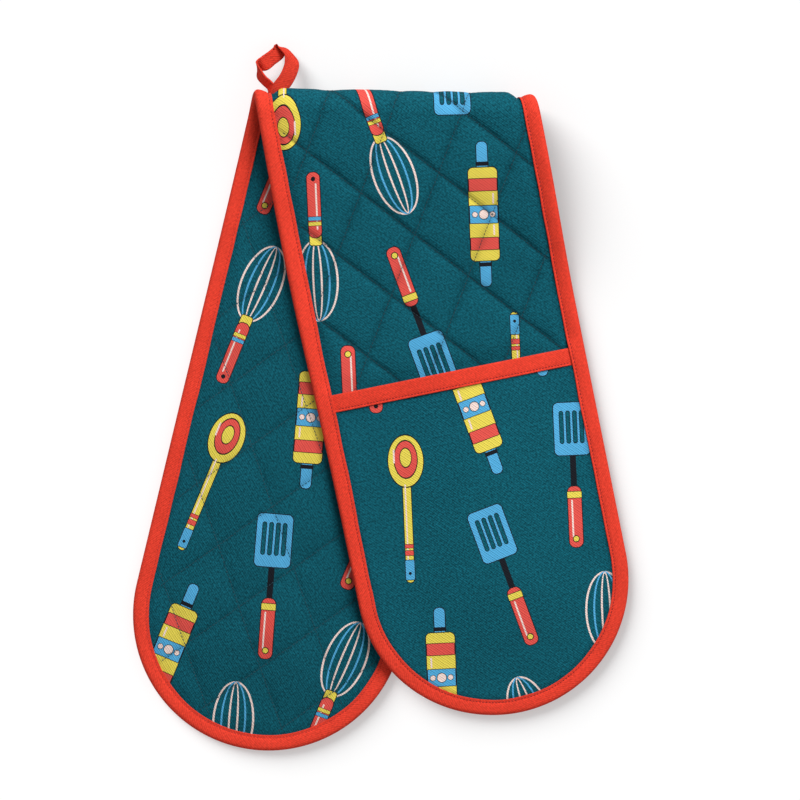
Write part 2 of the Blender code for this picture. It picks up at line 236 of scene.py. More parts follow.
def along_at(run, across):
    """How far along the strip a point lies that is so far from the fold line."""
    return (run + across * sin(SPLAY)) / cos(SPLAY)


def folded(along, across, depth):
    """The place in space of a point of the strip, with the strip folded."""
    x = along * sin(SPLAY) + across * cos(SPLAY)
    run = run_of(along, across)
    if run <= -HALF_BEND:
        y, z = run + HALF_BEND, depth
    elif run >= HALF_BEND:
        y, z = HALF_BEND - run, 2 * AXIS_HEIGHT - depth
    else:
        turn = run / BEND_RADIUS
        radius = AXIS_HEIGHT - depth
        y, z = radius * cos(turn), AXIS_HEIGHT + radius * sin(turn)
    return Vector((x, y, z)) - ORIGIN


def end_centre(along):
    """How far from the fold's middle the centre of the round end lies."""
    return REAR_CENTRE if along < 0 else FRONT_CENTRE


def inset_of(along, across):
    """How far a point lies inside the strip's outline."""
    beyond = abs(along) - end_centre(along)
    return HALF_WIDTH - (abs(across) if beyond < 0 else hypot(across, beyond))


def rim_run(along, across):
    """How far round the outline a point lies, for ripples that follow the edge."""
    beyond = abs(along) - end_centre(along)
    if beyond < 0:
        return abs(along) + (OTHER_EDGE if across > 0 else 0)
    angle = pi / 2 - abs(Vector((beyond, across)).angle_signed(Vector((0, 1)), 0))
    return end_centre(along) + HALF_WIDTH * angle * (1 if across > 0 else -1)


def dome(along, across):
    """The crown of a pocket: 0 along the binding, 1 on the middle line."""
    return ease((inset_of(along, across) - HEM_INSET) / (HALF_WIDTH - HEM_INSET))


def front_sink(along, across):
    """How far the front half lies below the top of the fold, from resting on the rear half."""
    run = run_of(along, across)
    if run <= HALF_BEND:
        return 0
    x = along * sin(SPLAY) + across * cos(SPLAY)
    rear_across = x * cos(SPLAY) + run * sin(SPLAY)
    support = 1 - ease((abs(rear_across) - LAY_FLAT_HALF) / LAY_FALL)
    lying = 2 * AXIS_HEIGHT - SEAM_DEPTH - FRONT_REST - REAR_TOP * support
    return lying * ease((run - HALF_BEND) / LAY_LENGTH)


def seam_depth(along, across):
    """Depth of the strip's middle layer where it is stitched flat."""
    if along < 0:
        rise = ease((abs(along) - RISE_START) / (MOUTH - RISE_START))
        return SEAM_DEPTH + POCKET_HOLLOW * rise * dome(along, across)
    return SEAM_DEPTH + front_sink(along, across)


def panel_depth(along, across):
    """How far a pocket's panel is moved inwards from the lie of the binding's outer face."""
    if along < 0:
        return 0
    return front_sink(along, across) - POCKET_HOLLOW * dome(along, across)


def quilt_shares(along, across):
    """Where a point lies between the stitched lines, counted in diamonds both ways."""
    first = (across * cos(FIRST_ANGLE) - along * sin(FIRST_ANGLE) - FIRST_PHASE) / FIRST_SPACING
    second = (across * cos(SECOND_ANGLE) + along * sin(SECOND_ANGLE) - SECOND_PHASE) / SECOND_SPACING
    return first, second


def lattice_place(first, second):
    """The place on the strip that lies so many diamonds along both families of lines."""
    first = first * FIRST_SPACING + FIRST_PHASE
    second = second * SECOND_SPACING + SECOND_PHASE
    between = sin(FIRST_ANGLE + SECOND_ANGLE)
    along = (cos(FIRST_ANGLE) * second - cos(SECOND_ANGLE) * first) / between
    across = (sin(SECOND_ANGLE) * first + sin(FIRST_ANGLE) * second) / between
    return along, across


def line_gaps(along, across):
    """For each family of stitched lines, the distance to the nearest and that line's number."""
    return [(abs(share - round(share)) * spacing, round(share))
            for share, spacing in zip(quilt_shares(along, across), (FIRST_SPACING, SECOND_SPACING))]


def crease_and_painted_shade(along, across):
    """1 in the creases of stitched lines and beside the edge tape, 0 a few millimetres off. It sets how far
    the cloth sinks there, and the painted shade in the cloth's colour.
    """
    (near_first, _), (near_second, _) = line_gaps(along, across)
    beside = inset_of(along, across) - HEM_INSET
    return max(bump(near_first, CREASE_REACH), SECOND_CREASE * bump(near_second, CREASE_SPREAD),
               EDGE_CREASE * bump(beside, CREASE_REACH))


def swell(along, across, seed, sharp):
    """How far the cloth stands above its stitched lines, with the puckers beside them."""
    (near_first, first), (near_second, second) = line_gaps(along, across)
    fade = ease((inset_of(along, across) - HEM_INSET) / CLOTH_FADE)
    rise_first = 1 - (1 - 2 * near_first / FIRST_SPACING) ** sharp[0]
    rise_second = 1 - (1 - 2 * near_second / SECOND_SPACING) ** sharp[1]
    height = (PUFF_HALF - SEAM_HALF) * rise_first * rise_second * fade
    along_first = along * cos(FIRST_ANGLE) + across * sin(FIRST_ANGLE)
    along_second = along * cos(SECOND_ANGLE) - across * sin(SECOND_ANGLE)
    pucker_first = wobble(along_first * PUCKERS_PER_METRE, first * 7.3, seed)
    pucker_second = wobble(along_second * PUCKERS_PER_METRE, second * 5.1, seed + 9)
    height += (FIRST_PUCKER * pucker_first * exp(-near_first / PUCKER_REACH) * rise_second
               + SECOND_PUCKER * pucker_second * exp(-near_second / PUCKER_REACH) * rise_first) * fade
    height += SLACK * wobble(along * SLACK_PER_METRE, across * SLACK_PER_METRE, seed + 4) * fade
    return height - CREASE_DEPTH * crease_and_painted_shade(along, across) * sharp[0] / OUTER_SHARP[0]


def outer_face(along, across):
    """The outer cloth: drawn tight round the fold, and pressed flat inside the pockets."""
    pressed = ease((abs(along) - MOUTH) / MOUTH_TAPE_WIDTH + 1)
    share = OUTER_FULLNESS + (PALM_PUFF_SHARE - OUTER_FULLNESS) * pressed
    height = swell(along, across, 1.0, OUTER_SHARP)
    tight = bump(run_of(along, across), CREST_REACH)
    tight *= ease((inset_of(along, across) - HEM_INSET) / CLOTH_FADE)
    height += tight * (CREST_FILL * (PUFF_HALF - SEAM_HALF - height) + CREST_FULLNESS)
    return seam_depth(along, across) - SEAM_HALF - height * share


def inner_face(along, across):
    """The puffs of the inner side rise more softly, as its thread lies slack."""
    return seam_depth(along, across) + SEAM_HALF + swell(along, across, 21.0, INNER_SHARP)


def mouth_dip(along, across):
    """How far a pocket's mouth is pressed down where the edge tape is sewn over its ends."""
    beside = ease((abs(across) - (HALF_WIDTH - BINDING_WIDTH - DIP_START)) / DIP_WIDTH)
    return DIP * beside * (1 - ease((abs(along) - MOUTH - MOUTH_TAPE_WIDTH) / DIP_LENGTH))


def pocket_painted_shade(along, across):
    """The painted shade of a pocket's panel: nearly 1 where it goes under a tape, 0 a few millimetres off.
    """
    beside = min(inset_of(along, across) - HEM_INSET, abs(along) - MOUTH - MOUTH_TAPE_WIDTH)
    return EDGE_CREASE * bump(beside, CREASE_REACH)


def panel_wave(along, across):
    """The slack of a pocket's unquilted panel, with ripples beside its seam."""
    inset = inset_of(along, across)
    soft = ease((inset - HEM_INSET) / PANEL_FADE)
    wave = WAVE * wobble(along * WAVES_PER_METRE[0], across * WAVES_PER_METRE[1], 3.0) * soft
    wave += RIPPLE * wobble(along * RIPPLES_PER_METRE, across * RIPPLES_PER_METRE, 8.0) * soft
    near = exp(-max(inset - HEM_INSET, 0) / RIPPLE_FADE)
    return wave + RIPPLE * near * wobble(rim_run(along, across) * RIM_RIPPLES_PER_METRE, 2.0, 5.0)


def edge_swing(along, across, inset):
    """How far the left edge swings out beside the fold, where its tape lies flatter and wider."""
    if across > 0:
        return 0.0
    return SWING * bump(along - SWING_AT, SWING_REACH) * (1 - SWING_TAPER * inset / BINDING_WIDTH)


def hem_place(along, across, inset):
    """A point on the line of the hem, moved out or in to another inset from the edge.

    Near the fold the move follows the fold line, so that neighbours meet on one line."""
    beyond = abs(along) - end_centre(along)
    if beyond > 0:
        grow = (HALF_WIDTH - inset) / (HALF_WIDTH - HEM_INSET)
        side = -1 if along < 0 else 1
        return side * (end_centre(along) + beyond * grow), across * grow
    target = (HALF_WIDTH - inset + edge_swing(along, across, inset)) * (1 if across > 0 else -1)
    from_fold = abs(run_of(along, across)) - HALF_BEND
    follow = 1 - ease(from_fold / LAY_LENGTH)
    return along + (target - across) * tan(SPLAY) * follow, target


# Making meshes


def flat_layer(bm):
    """The place that each vertex has on the flat strip, kept while the mesh is bent."""
    return bm.verts.layers.float_vector.get("flat") or bm.verts.layers.float_vector.new("flat")


def part_layer(bm):
    """The number of the piece that each face belongs to, where a mesh is made for several."""
    return bm.faces.layers.int.get("part") or bm.faces.layers.int.new("part")


def mark_parts(bm, part_at):
    """Give every face of a flat plan its piece, from the place of the face's middle."""
    part = part_layer(bm)
    for face in bm.faces:
        face[part] = part_at(*face.calc_center_median().xy)


def stretch_of(along, across):
    """0 on the rear half, 1 on the fold, 2 on the front half."""
    run = run_of(along, across)
    return 0 if run < -HALF_BEND else 2 if run > HALF_BEND else 1


def drop_outside(bm, inset):
    """Drop a flat sheet's faces near the edge, and draw the new rim to one inset."""
    outside = [face for face in bm.faces if inset_of(*face.calc_center_median().xy) < inset]
    bmesh.ops.delete(bm, geom=outside, context="FACES")
    for vert in bm.verts:
        beyond = abs(vert.co.x) - end_centre(vert.co.x)
        if vert.is_boundary and beyond > 0 and inset_of(vert.co.x, vert.co.y) < inset + RIM:
            grow = (HALF_WIDTH - inset) / hypot(beyond, vert.co.y)
            side = -1 if vert.co.x < 0 else 1
            vert.co = (side * (end_centre(vert.co.x) + beyond * grow), vert.co.y * grow, 0)


def cut(bm, along, across, normal, clear=False):
    """Divide a flat plan along a line, and drop what lies beyond it where that is to be cleared."""
    bmesh.ops.bisect_plane(bm, geom=bm.verts[:] + bm.edges[:] + bm.faces[:],
                           plane_co=(along, across, 0), plane_no=(*normal, 0), clear_outer=clear)


def strip_plan():
    """The strip laid out flat and divided along its quilting, closer beside the stitches."""
    reach = REAR_LENGTH + HALF_WIDTH
    first_cells = ceil(reach / FIRST_SPACING)
    second_cells = ceil(reach / SECOND_SPACING)
    bm = bmesh.new()
    bmesh.ops.create_grid(bm, x_segments=2 * first_cells * CELL_STEPS,
                          y_segments=2 * second_cells * CELL_STEPS, size=1)
    for vert in bm.verts:
        shares = [vert.co.x * first_cells, vert.co.y * second_cells]
        close = [share - CLOSER * sin(2 * pi * share) / (2 * pi) for share in shares]
        vert.co = (*lattice_place(*close), 0)
    for side in (-1, 1):
        cut(bm, 0, side * (HALF_WIDTH - HIDDEN_EDGE), (0, side), clear=True)
    drop_outside(bm, HIDDEN_EDGE)
    for side in (-1, 1):
        cut(bm, side * HALF_BEND / cos(SPLAY), 0, (cos(SPLAY), -sin(SPLAY)))
    mark_parts(bm, stretch_of)
    return bm


def panel_plan(half, start):
    """A pocket's layer laid out flat, from a line across the strip to the round end."""
    bm = bmesh.new()
    end = end_centre(half) + HALF_WIDTH
    rows = ceil((end - MOUTH) / PANEL_STEP)
    columns = 2 * ceil(HALF_WIDTH / PANEL_STEP)
    bmesh.ops.create_grid(bm, x_segments=rows, y_segments=columns, size=1)
    for vert in bm.verts:
        along = half * (start + (vert.co.x + 1) / 2 * (end - start))
        vert.co = (along, vert.co.y * (HALF_WIDTH - PANEL_EDGE), 0)
    drop_outside(bm, PANEL_EDGE)
    mark_parts(bm, lambda along, across: int(across > 0))
    return bm


def bend_sheet(bm, outer, inner, place_on_print, shade=lambda along, across: 0.0):
    """Give a flat plan its thickness and lay it where the strip lies."""
    flat = flat_layer(bm)
    # Each vertex keeps the shade function's value, which the material paints as shade in the colour.
    deep = bm.verts.layers.float.new("crease_and_painted_shade")
    for vert in bm.verts:
        vert[flat] = vert.co
        vert[deep] = shade(*vert.co.xy)
    grown = bmesh.ops.extrude_face_region(bm, geom=bm.faces[:])["geom"]
    raised = {item for item in grown if isinstance(item, bmesh.types.BMVert)}
    for vert in bm.verts:
        along, across = vert[flat].xy
        depth = inner(along, across) if vert in raised else outer(along, across)
        vert.co = folded(along, across, depth)
    bmesh.ops.recalc_face_normals(bm, faces=bm.faces[:])
    lay = bm.loops.layers.uv.new("strip")
    for face in bm.faces:
        for loop in face.loops:
            loop[lay].uv = place_on_print(*loop.vert[flat].xy)
    return bm


def tube(rings, runs, skin, part_at=lambda run: 0):
    """A surface through a row of rings, mapped by the way along and the way round.

    A last ring that is the first one again closes it to a hoop, and other ends are capped."""
    count = len(rings[0])
    bm = bmesh.new()
    lay = bm.loops.layers.uv.new("strip")
    part = part_layer(bm)
    flat = flat_layer(bm)
    bmesh.ops.create_grid(bm, x_segments=count, y_segments=len(rings) - 1, size=1)
    for index, vert in enumerate(bm.verts):
        row, place = divmod(index, count + 1)
        vert[flat] = (runs[row], skin[place % count], 0)
        vert.co = rings[row][place % count]
    for face in bm.faces:
        face[part] = part_at(sum(vert[flat].x for vert in face.verts) / len(face.verts))
        for loop in face.loops:
            loop[lay].uv = loop.vert[flat].xy
    last_ring = len(bm.verts) - count - 1
    seam = [vert for index, vert in enumerate(bm.verts)
            if index % (count + 1) in (0, count) or not count < index < last_ring]
    bmesh.ops.remove_doubles(bm, verts=seam, dist=TOUCH / 100)
    if rings[0] is not rings[-1]:
        bmesh.ops.holes_fill(bm, edges=[edge for edge in bm.edges if edge.is_boundary], sides=count)
    bmesh.ops.recalc_face_normals(bm, faces=bm.faces[:])
    return bm


def keep_normals(bm):
    """Note the normals of a whole mesh, so that the pieces cut from it shade as one."""
    whole = bm.verts.layers.float_vector.get("whole_normal")
    whole = whole or bm.verts.layers.float_vector.new("whole_normal")
    bm.normal_update()
    for vert in bm.verts:
        vert[whole] = vert.normal


def make_piece(name, bm, material, part=None):
    """Make a finished object of a mesh, or of the faces that belong to one part of it."""
    cut_out = bm.copy()
    if part is not None:
        layer = part_layer(cut_out)
        dropped = [face for face in cut_out.faces if face[layer] != part]
        bmesh.ops.delete(cut_out, geom=dropped, context="FACES")
        rim = [edge for edge in cut_out.edges if edge.is_boundary]
        bmesh.ops.holes_fill(cut_out, edges=rim, sides=0)
    mesh = bpy.data.meshes.new(name)
    cut_out.to_mesh(mesh)
    cut_out.free()
    mesh.shade_smooth()
    whole = mesh.attributes.get("whole_normal")
    if whole:
        mesh.normals_split_custom_set_from_vertices([item.vector for item in whole.data])
        mesh.attributes.remove(mesh.attributes["whole_normal"])
    for spent in ("flat", "part"):
        if mesh.attributes.get(spent):
            mesh.attributes.remove(mesh.attributes[spent])
    mesh.materials.append(material)
    piece = bpy.data.objects.new(name, mesh)
    bpy.context.collection.objects.link(piece)
    return piece


def flat_size(bm, part):
    """The area of one part of a flat plan, and its width across and length along.

    The length is measured near the middle line, and it is at least what the area needs."""
    layer = part_layer(bm)
    faces = [face for face in bm.faces if face[layer] == part]
    places = {vert.co.xy.to_tuple(): vert for face in faces for vert in face.verts}
    across = [place[1] for place in places]
    width = max(across) - min(across)
    middle = [place[0] for place in places if abs(place[1]) < 0.01]
    area = sum(face.calc_area() for face in faces)
    length = max(max(middle) - min(middle), area / width * 1.001)
    return area, (width, length)


# Stitching

# A stitch: its half height as a share of its thickness, and its half length as a share of the way
# from hole to hole. Then how thick each thread is and how far it stands off the cloth.
STITCH_FLATNESS = 0.4
STITCH_HALF = 0.37
TAPE_THREAD = 0.00062
QUILTING_THREAD = 0.00058
LOOP_THREAD = 0.00030
TAPE_THREAD_OUT = 0.00010
QUILTING_THREAD_OUT = 0.00008
NEAR = 0.0008


def add_stitch(bm, start, end, outward, thickness):
    """One stitch of thread: a slim bead that runs from one needle hole to the next."""
    ahead = end - start
    side = ahead.cross(outward).normalized()
    up = side.cross(ahead).normalized()
    columns = (side * thickness / 2, up * thickness * STITCH_FLATNESS, ahead * STITCH_HALF)
    turn = Matrix(columns).transposed().to_4x4()
    turn.translation = (start + end) / 2
    bmesh.ops.create_uvsphere(bm, u_segments=6, v_segments=5, radius=1, matrix=turn)


def sew(name, rows, thickness, material):
    """A row of stitches through each list of needle holes, given as places and outward ways."""
    bm = bmesh.new()
    held = bpy.data.meshes.new("row_of_stitches")
    for row in rows:
        line = bmesh.new()
        for (start, outward), (end, _) in zip(row, row[1:]):
            add_stitch(line, start, end, outward, thickness)
        line.to_mesh(held)
        line.free()
        bm.from_mesh(held)
    bpy.data.meshes.remove(held)
    piece = make_piece(name, bm, material)
    bm.free()
    return piece


def hole_at(surface, along, across):
    """A needle hole on a surface, and the way that the surface faces there."""
    place = surface(along, across)
    beside = surface(along + NEAR, across) - surface(along - NEAR, across)
    over = surface(along, across + NEAR) - surface(along, across - NEAR)
    return place, beside.cross(over).normalized()


# Nodes


class Wiring:
    """Adds nodes to a tree and joins them."""

    def __init__(self, tree):
        self.tree = tree

    def add(self, kind, *feeds, **settings):
        """A new node with its settings, its inputs fed in their order."""
        node = self.tree.nodes.new(kind)
        for key, value in settings.items():
            setattr(node, key, value)
        for index, value in enumerate(feeds):
            self.feed(node.inputs[index], value)
        return node

    def feed(self, socket, value):
        """Join a socket to an output, or set it to a plain value."""
        if isinstance(value, bpy.types.NodeSocket):
            self.tree.links.new(value, socket)
        elif value is not None:
            socket.default_value = value

    def math(self, operation, *feeds):
        return self.add("ShaderNodeMath", *feeds, operation=operation).outputs[0]

    def vector(self, operation, *feeds):
        node = self.add("ShaderNodeVectorMath", *feeds, operation=operation)
        return node.outputs["Value" if operation == "LENGTH" else "Vector"]

    def mix(self, share, under, over):
        """A colour over another, by a share from 0 to 1."""
        node = self.add("ShaderNodeMix", share, data_type="RGBA")
        self.feed(node.inputs[6], under)
        self.feed(node.inputs[7], over)
        return node.outputs[2]

    def noise(self, place, scale, detail=2.0):
        node = self.add("ShaderNodeTexNoise", place)
        node.inputs["Scale"].default_value = scale
        node.inputs["Detail"].default_value = detail
        return node.outputs["Fac"]

    def between(self, value, low, high, to_low=0.0, to_high=1.0):
        return self.add("ShaderNodeMapRange", value, low, high, to_low, to_high).outputs[0]

    def group(self, tree, **feeds):
        """A node group's outputs, its inputs fed by name."""
        node = self.add("ShaderNodeGroup", node_tree=tree)
        for key, value in feeds.items():
            self.feed(node.inputs[key.replace("_", " ")], value)
        return node.outputs


def new_group(name, inputs, outputs):
    """An empty node group with named sockets, ready to wire."""
    tree = bpy.data.node_groups.new(name, "ShaderNodeTree")
    for label, kind in inputs:
        tree.interface.new_socket(label, in_out="INPUT", socket_type=kind)
    for label, kind in outputs:
        tree.interface.new_socket(label, in_out="OUTPUT", socket_type=kind)
    wire = Wiring(tree)
    return wire, wire.add("NodeGroupInput").outputs, wire.add("NodeGroupOutput").inputs


def once(name, build):
    """A node group or a material that is built the first time it is asked for."""
    made = bpy.data.node_groups.get(name) or bpy.data.materials.get(name)
    return made or build(name)


# The weave: its noises' scales, how far they push the threads about, the finer threads to each
# rib, how high the ribs and the crossings stand, how much painted shade their relief puts in the colour,
# and how much the wear tints it
DRIFT_SCALE = 260.0
FIBRE_SCALE = 700.0
WEAR_SCALE = 55.0
DRIFT = 2.4
FINE_PER_RIB = 1.5
RIB_HEIGHT = 0.20
CROSSING_HEIGHT = 0.32
RELIEF_PAINTED_SHADE = 0.50
WEAR_TINTS = (0.95, 1.05)

# The sewing thread and the wadding
TWIST_SCALE = 3000.0
TWIST_SHADE = 0.75
TWIST_DEPTH = 0.00008
FELT_SCALE = 900.0
FELT_DEPTH = 0.0004
FELT_DARK = (0.70, 0.68, 0.62, 1)
FELT_LIGHT = (0.88, 0.87, 0.83, 1)


def build_weave(name):
    """Twill: slanting ribs of thread, the threads that cross them, and stray fibres."""
    wire, given, out = new_group(name, (("Place", "NodeSocketVector"), ("Threads", "NodeSocketFloat")),
                                 (("Height", "NodeSocketFloat"), ("Tint", "NodeSocketFloat"),
                                  ("Lint", "NodeSocketFloat")))
    drift = wire.noise(given["Place"], DRIFT_SCALE)
    parts = wire.add("ShaderNodeSeparateXYZ", given["Place"]).outputs
    slant = wire.math("ADD", parts[0], parts[1])
    turns = wire.math("MULTIPLY", given["Threads"], 2 * pi)
    loose = wire.math("MULTIPLY", drift, DRIFT)
    rib = wire.math("SINE", wire.math("MULTIPLY_ADD", slant, turns, loose))
    fine = wire.math("MULTIPLY", turns, FINE_PER_RIB)
    weft = wire.math("SINE", wire.math("MULTIPLY_ADD", parts[1], fine, loose))
    warp = wire.math("SINE", wire.math("MULTIPLY", parts[0], fine))
    cross = wire.math("MULTIPLY", weft, warp)
    height = wire.math("ADD", wire.math("MULTIPLY", rib, RIB_HEIGHT),
                       wire.math("MULTIPLY", cross, CROSSING_HEIGHT))
    wire.feed(out["Height"], wire.math("ADD", height, 0.5))
    fibre = wire.noise(given["Place"], FIBRE_SCALE)
    worn = wire.noise(given["Place"], WEAR_SCALE, detail=4.0)
    wire.feed(out["Lint"], wire.between(fibre, 0.35, 0.65, -1, 1))
    # Painted shade: the threads are lighter where they stand high and darker where they lie low.
    painted_relief_shade = wire.math("MULTIPLY_ADD", height, RELIEF_PAINTED_SHADE, 1.0)
    wire.feed(out["Tint"], wire.math("MULTIPLY", painted_relief_shade, wire.between(worn, 0.3, 0.7, *WEAR_TINTS)))
    return wire.tree


def build_printed_shape(name):
    """One printed shape with a dark outline: a box with round corners, or stretched an oval."""
    wire, given, out = new_group(
        name,
        (("Point", "NodeSocketVector"), ("Under", "NodeSocketColor"), ("Fill", "NodeSocketColor"),
         ("Ink", "NodeSocketColor"), ("Centre", "NodeSocketVector"), ("Half Size", "NodeSocketVector"),
         ("Stretch", "NodeSocketVector"), ("Radius", "NodeSocketFloat"), ("Outline", "NodeSocketFloat")),
        (("Colour", "NodeSocketColor"),))
    from_centre = wire.vector("SUBTRACT", given["Point"], given["Centre"])
    stretched = wire.vector("MULTIPLY", from_centre, given["Stretch"])
    beyond = wire.vector("SUBTRACT", wire.vector("ABSOLUTE", stretched), given["Half Size"])
    away = wire.vector("LENGTH", wire.vector("MAXIMUM", beyond, (0, 0, 0)))
    inked = wire.math("LESS_THAN", away, wire.math("ADD", given["Radius"], given["Outline"]))
    filled = wire.math("LESS_THAN", away, given["Radius"])
    wire.feed(out["Colour"], wire.mix(filled, wire.mix(inked, given["Under"], given["Ink"]), given["Fill"]))
    return wire.tree


# Each printed shape: its colour, centre, half size, corner radius, stretch and outline, in
# millimetres. An oval is a point with a radius, stretched. "ground" is the cloth's own colour.
WHISK = (
    ("cream", (0, 19), (0, 0), 12.4, 0.52, 0.0), ("ground", (0, 19), (0, 0), 11.2, 0.49, 0.0),
    ("sky", (0, 19), (0, 0), 7.6, 0.32, 0.0), ("ground", (0, 19), (0, 0), 6.5, 0.285, 0.0),
    ("cream", (0, 19), (0, 0), 3.0, 0.128, 0.0), ("ground", (0, 19), (0, 0), 1.9, 0.084, 0.0),
    ("yellow", (0, -6), (2.2, 3.2), 1.2, 1.0, 0.5), ("coral", (0, -25), (0.4, 15.5), 3.3, 1.0, 0.5),
    ("cream", (-1.4, -24), (0, 13), 0.5, 1.0, 0.0), ("yellow", (0, -14), (3.4, 0.7), 0.3, 1.0, 0.3),
    ("sky", (0, -17), (3.4, 0.7), 0.3, 1.0, 0.3), ("ink", (0, -40), (0, 0), 1.3, 1.0, 0.0),
)
SPOON = (
    ("yellow", (0, -12), (0, 29), 2.3, 1.0, 0.5), ("yellow", (0, 28), (0, 0), 10.2, 0.68, 0.5),
    ("coral", (0, 29), (0, 0), 6.6, 0.62, 0.5), ("yellow", (0, 30), (0, 0), 3.2, 0.60, 0.4),
    ("cream", (-0.9, -8), (0, 22), 0.4, 1.0, 0.0), ("sky", (0, -36), (1.9, 5.0), 0.7, 1.0, 0.4),
    ("coral", (0, -26), (1.9, 0.9), 0.5, 1.0, 0.3), ("coral", (0, -22), (1.9, 0.5), 0.5, 1.0, 0.3),
    ("ink", (0, -38), (0, 0), 0.9, 1.0, 0.0), ("cream", (-6.8, 31), (0, 3.6), 0.5, 1.0, 0.0),
)
ROLLING_PIN = (
    ("sky", (0, 0), (0.4, 39), 2.7, 1.0, 0.5), ("ink", (0, 29), (3.4, 0.8), 0.4, 1.0, 0.0),
    ("ink", (0, -29), (3.4, 0.8), 0.4, 1.0, 0.0), ("yellow", (0, 0), (5.6, 24), 2.8, 1.0, 0.5),
    ("coral", (0, 17), (7.7, 3.0), 0.4, 1.0, 0.4), ("coral", (0, -17), (7.7, 3.0), 0.4, 1.0, 0.4),
    ("sky", (0, 0), (7.7, 4.6), 0.4, 1.0, 0.4), ("cream", (0, 0), (0, 0), 2.6, 1.0, 0.4),
    ("cream", (-5.2, 0), (0, 0), 1.5, 1.0, 0.3), ("cream", (5.2, 0), (0, 0), 1.5, 1.0, 0.3),
    ("cream", (-5.8, 9), (0, 2.6), 0.5, 1.0, 0.0), ("cream", (-5.8, -9), (0, 2.6), 0.5, 1.0, 0.0),
)
SPATULA = (
    ("ink", (0, 2), (0, 12), 1.5, 1.0, 0.3), ("sky", (0, 27), (7.6, 12.6), 2.9, 1.0, 0.5),
    ("ground", (-6, 28), (0, 8.4), 1.0, 1.0, 0.4), ("ground", (-2, 28), (0, 8.4), 1.0, 1.0, 0.4),
    ("ground", (2, 28), (0, 8.4), 1.0, 1.0, 0.4), ("ground", (6, 28), (0, 8.4), 1.0, 1.0, 0.4),
    ("coral", (0, -25), (0.6, 14.5), 3.4, 1.0, 0.5), ("yellow", (0, -12), (3.8, 1.4), 0.4, 1.0, 0.4),
    ("cream", (-1.6, -26), (0, 10.5), 0.5, 1.0, 0.0), ("yellow", (0, -38), (0, 0), 1.6, 1.0, 0.5),
)
MOTIFS = (WHISK, SPOON, ROLLING_PIN, SPATULA)
COLUMN_WIDTH = 50.0
ROW_HEIGHT = 102.0
PRINT_SCALE = 1.12
MOTIF_TILT = radians(9)
COTTON_LINT = 0.34
TAPE_LINT = 0.14


def build_print(name):
    """Kitchen tools printed in columns, each column dropped by half a row from the last."""
    settings = bpy.context.scene.glove_cloth
    wire, given, out = new_group(name, (("Place", "NodeSocketVector"), ("Ground", "NodeSocketColor")),
                                 (("Colour", "NodeSocketColor"),))
    shape = once("printed_shape", build_printed_shape)
    inks = {key: (*getattr(settings, key), 1) for key in ("coral", "yellow", "sky", "cream", "ink")}
    inks["ground"] = given["Ground"]
    place = wire.vector("MULTIPLY", given["Place"], (1 / MM / PRINT_SCALE,) * 3)
    parts = wire.add("ShaderNodeSeparateXYZ", place).outputs
    column = wire.math("FLOOR", wire.math("DIVIDE", parts[0], COLUMN_WIDTH))
    odd = wire.math("FLOORED_MODULO", column, 2.0)
    dropped = wire.math("MULTIPLY_ADD", odd, ROW_HEIGHT / 2, parts[1])
    row = wire.math("FLOOR", wire.math("DIVIDE", dropped, ROW_HEIGHT))
    x = wire.math("SUBTRACT", parts[0], wire.math("MULTIPLY", wire.math("ADD", column, 0.5), COLUMN_WIDTH))
    y = wire.math("SUBTRACT", dropped, wire.math("MULTIPLY", wire.math("ADD", row, 0.5), ROW_HEIGHT))
    point = wire.add("ShaderNodeCombineXYZ", x, y).outputs[0]
    turn = wire.add("ShaderNodeVectorRotate", point, rotation_type="Z_AXIS")
    wire.feed(turn.inputs["Angle"], wire.between(odd, 0, 1, -MOTIF_TILT, MOTIF_TILT))
    kind = wire.math("FLOORED_MODULO", wire.math("MULTIPLY_ADD", row, 3.0, column), len(MOTIFS))
    result = inks["ground"]
    for index, motif in enumerate(MOTIFS):
        drawn = inks["ground"]
        for ink, centre, half_size, radius, stretch, outline in motif:
            drawn = wire.group(shape, Point=turn.outputs[0], Under=drawn, Fill=inks[ink], Ink=inks["ink"],
                               Centre=(*centre, 0), Half_Size=(*half_size, 0), Stretch=(1, stretch, 0),
                               Radius=radius, Outline=outline)["Colour"]
        result = wire.mix(wire.math("COMPARE", kind, float(index), 0.5), result, drawn)
    wire.feed(out["Colour"], result)
    return wire.tree


def new_material(name, roughness, sheen):
    """A cloth material with its shader, ready to wire."""
    material = bpy.data.materials.new(name)
    material.use_nodes = True
    wire = Wiring(material.node_tree)
    shader = material.node_tree.nodes["Principled BSDF"].inputs
    shader["Roughness"].default_value = roughness
    shader["Specular IOR Level"].default_value = 0.06
    shader["Sheen Weight"].default_value = sheen
    shader["Sheen Roughness"].default_value = 0.6
    return material, wire, shader


def add_bump(wire, shader, height, depth):
    """Raise a material's surface by a height from 0 to 1 times a depth in metres."""
    relief = wire.add("ShaderNodeBump")
    relief.inputs["Distance"].default_value = depth
    wire.feed(relief.inputs["Height"], height)
    wire.feed(shader["Normal"], relief.outputs[0])


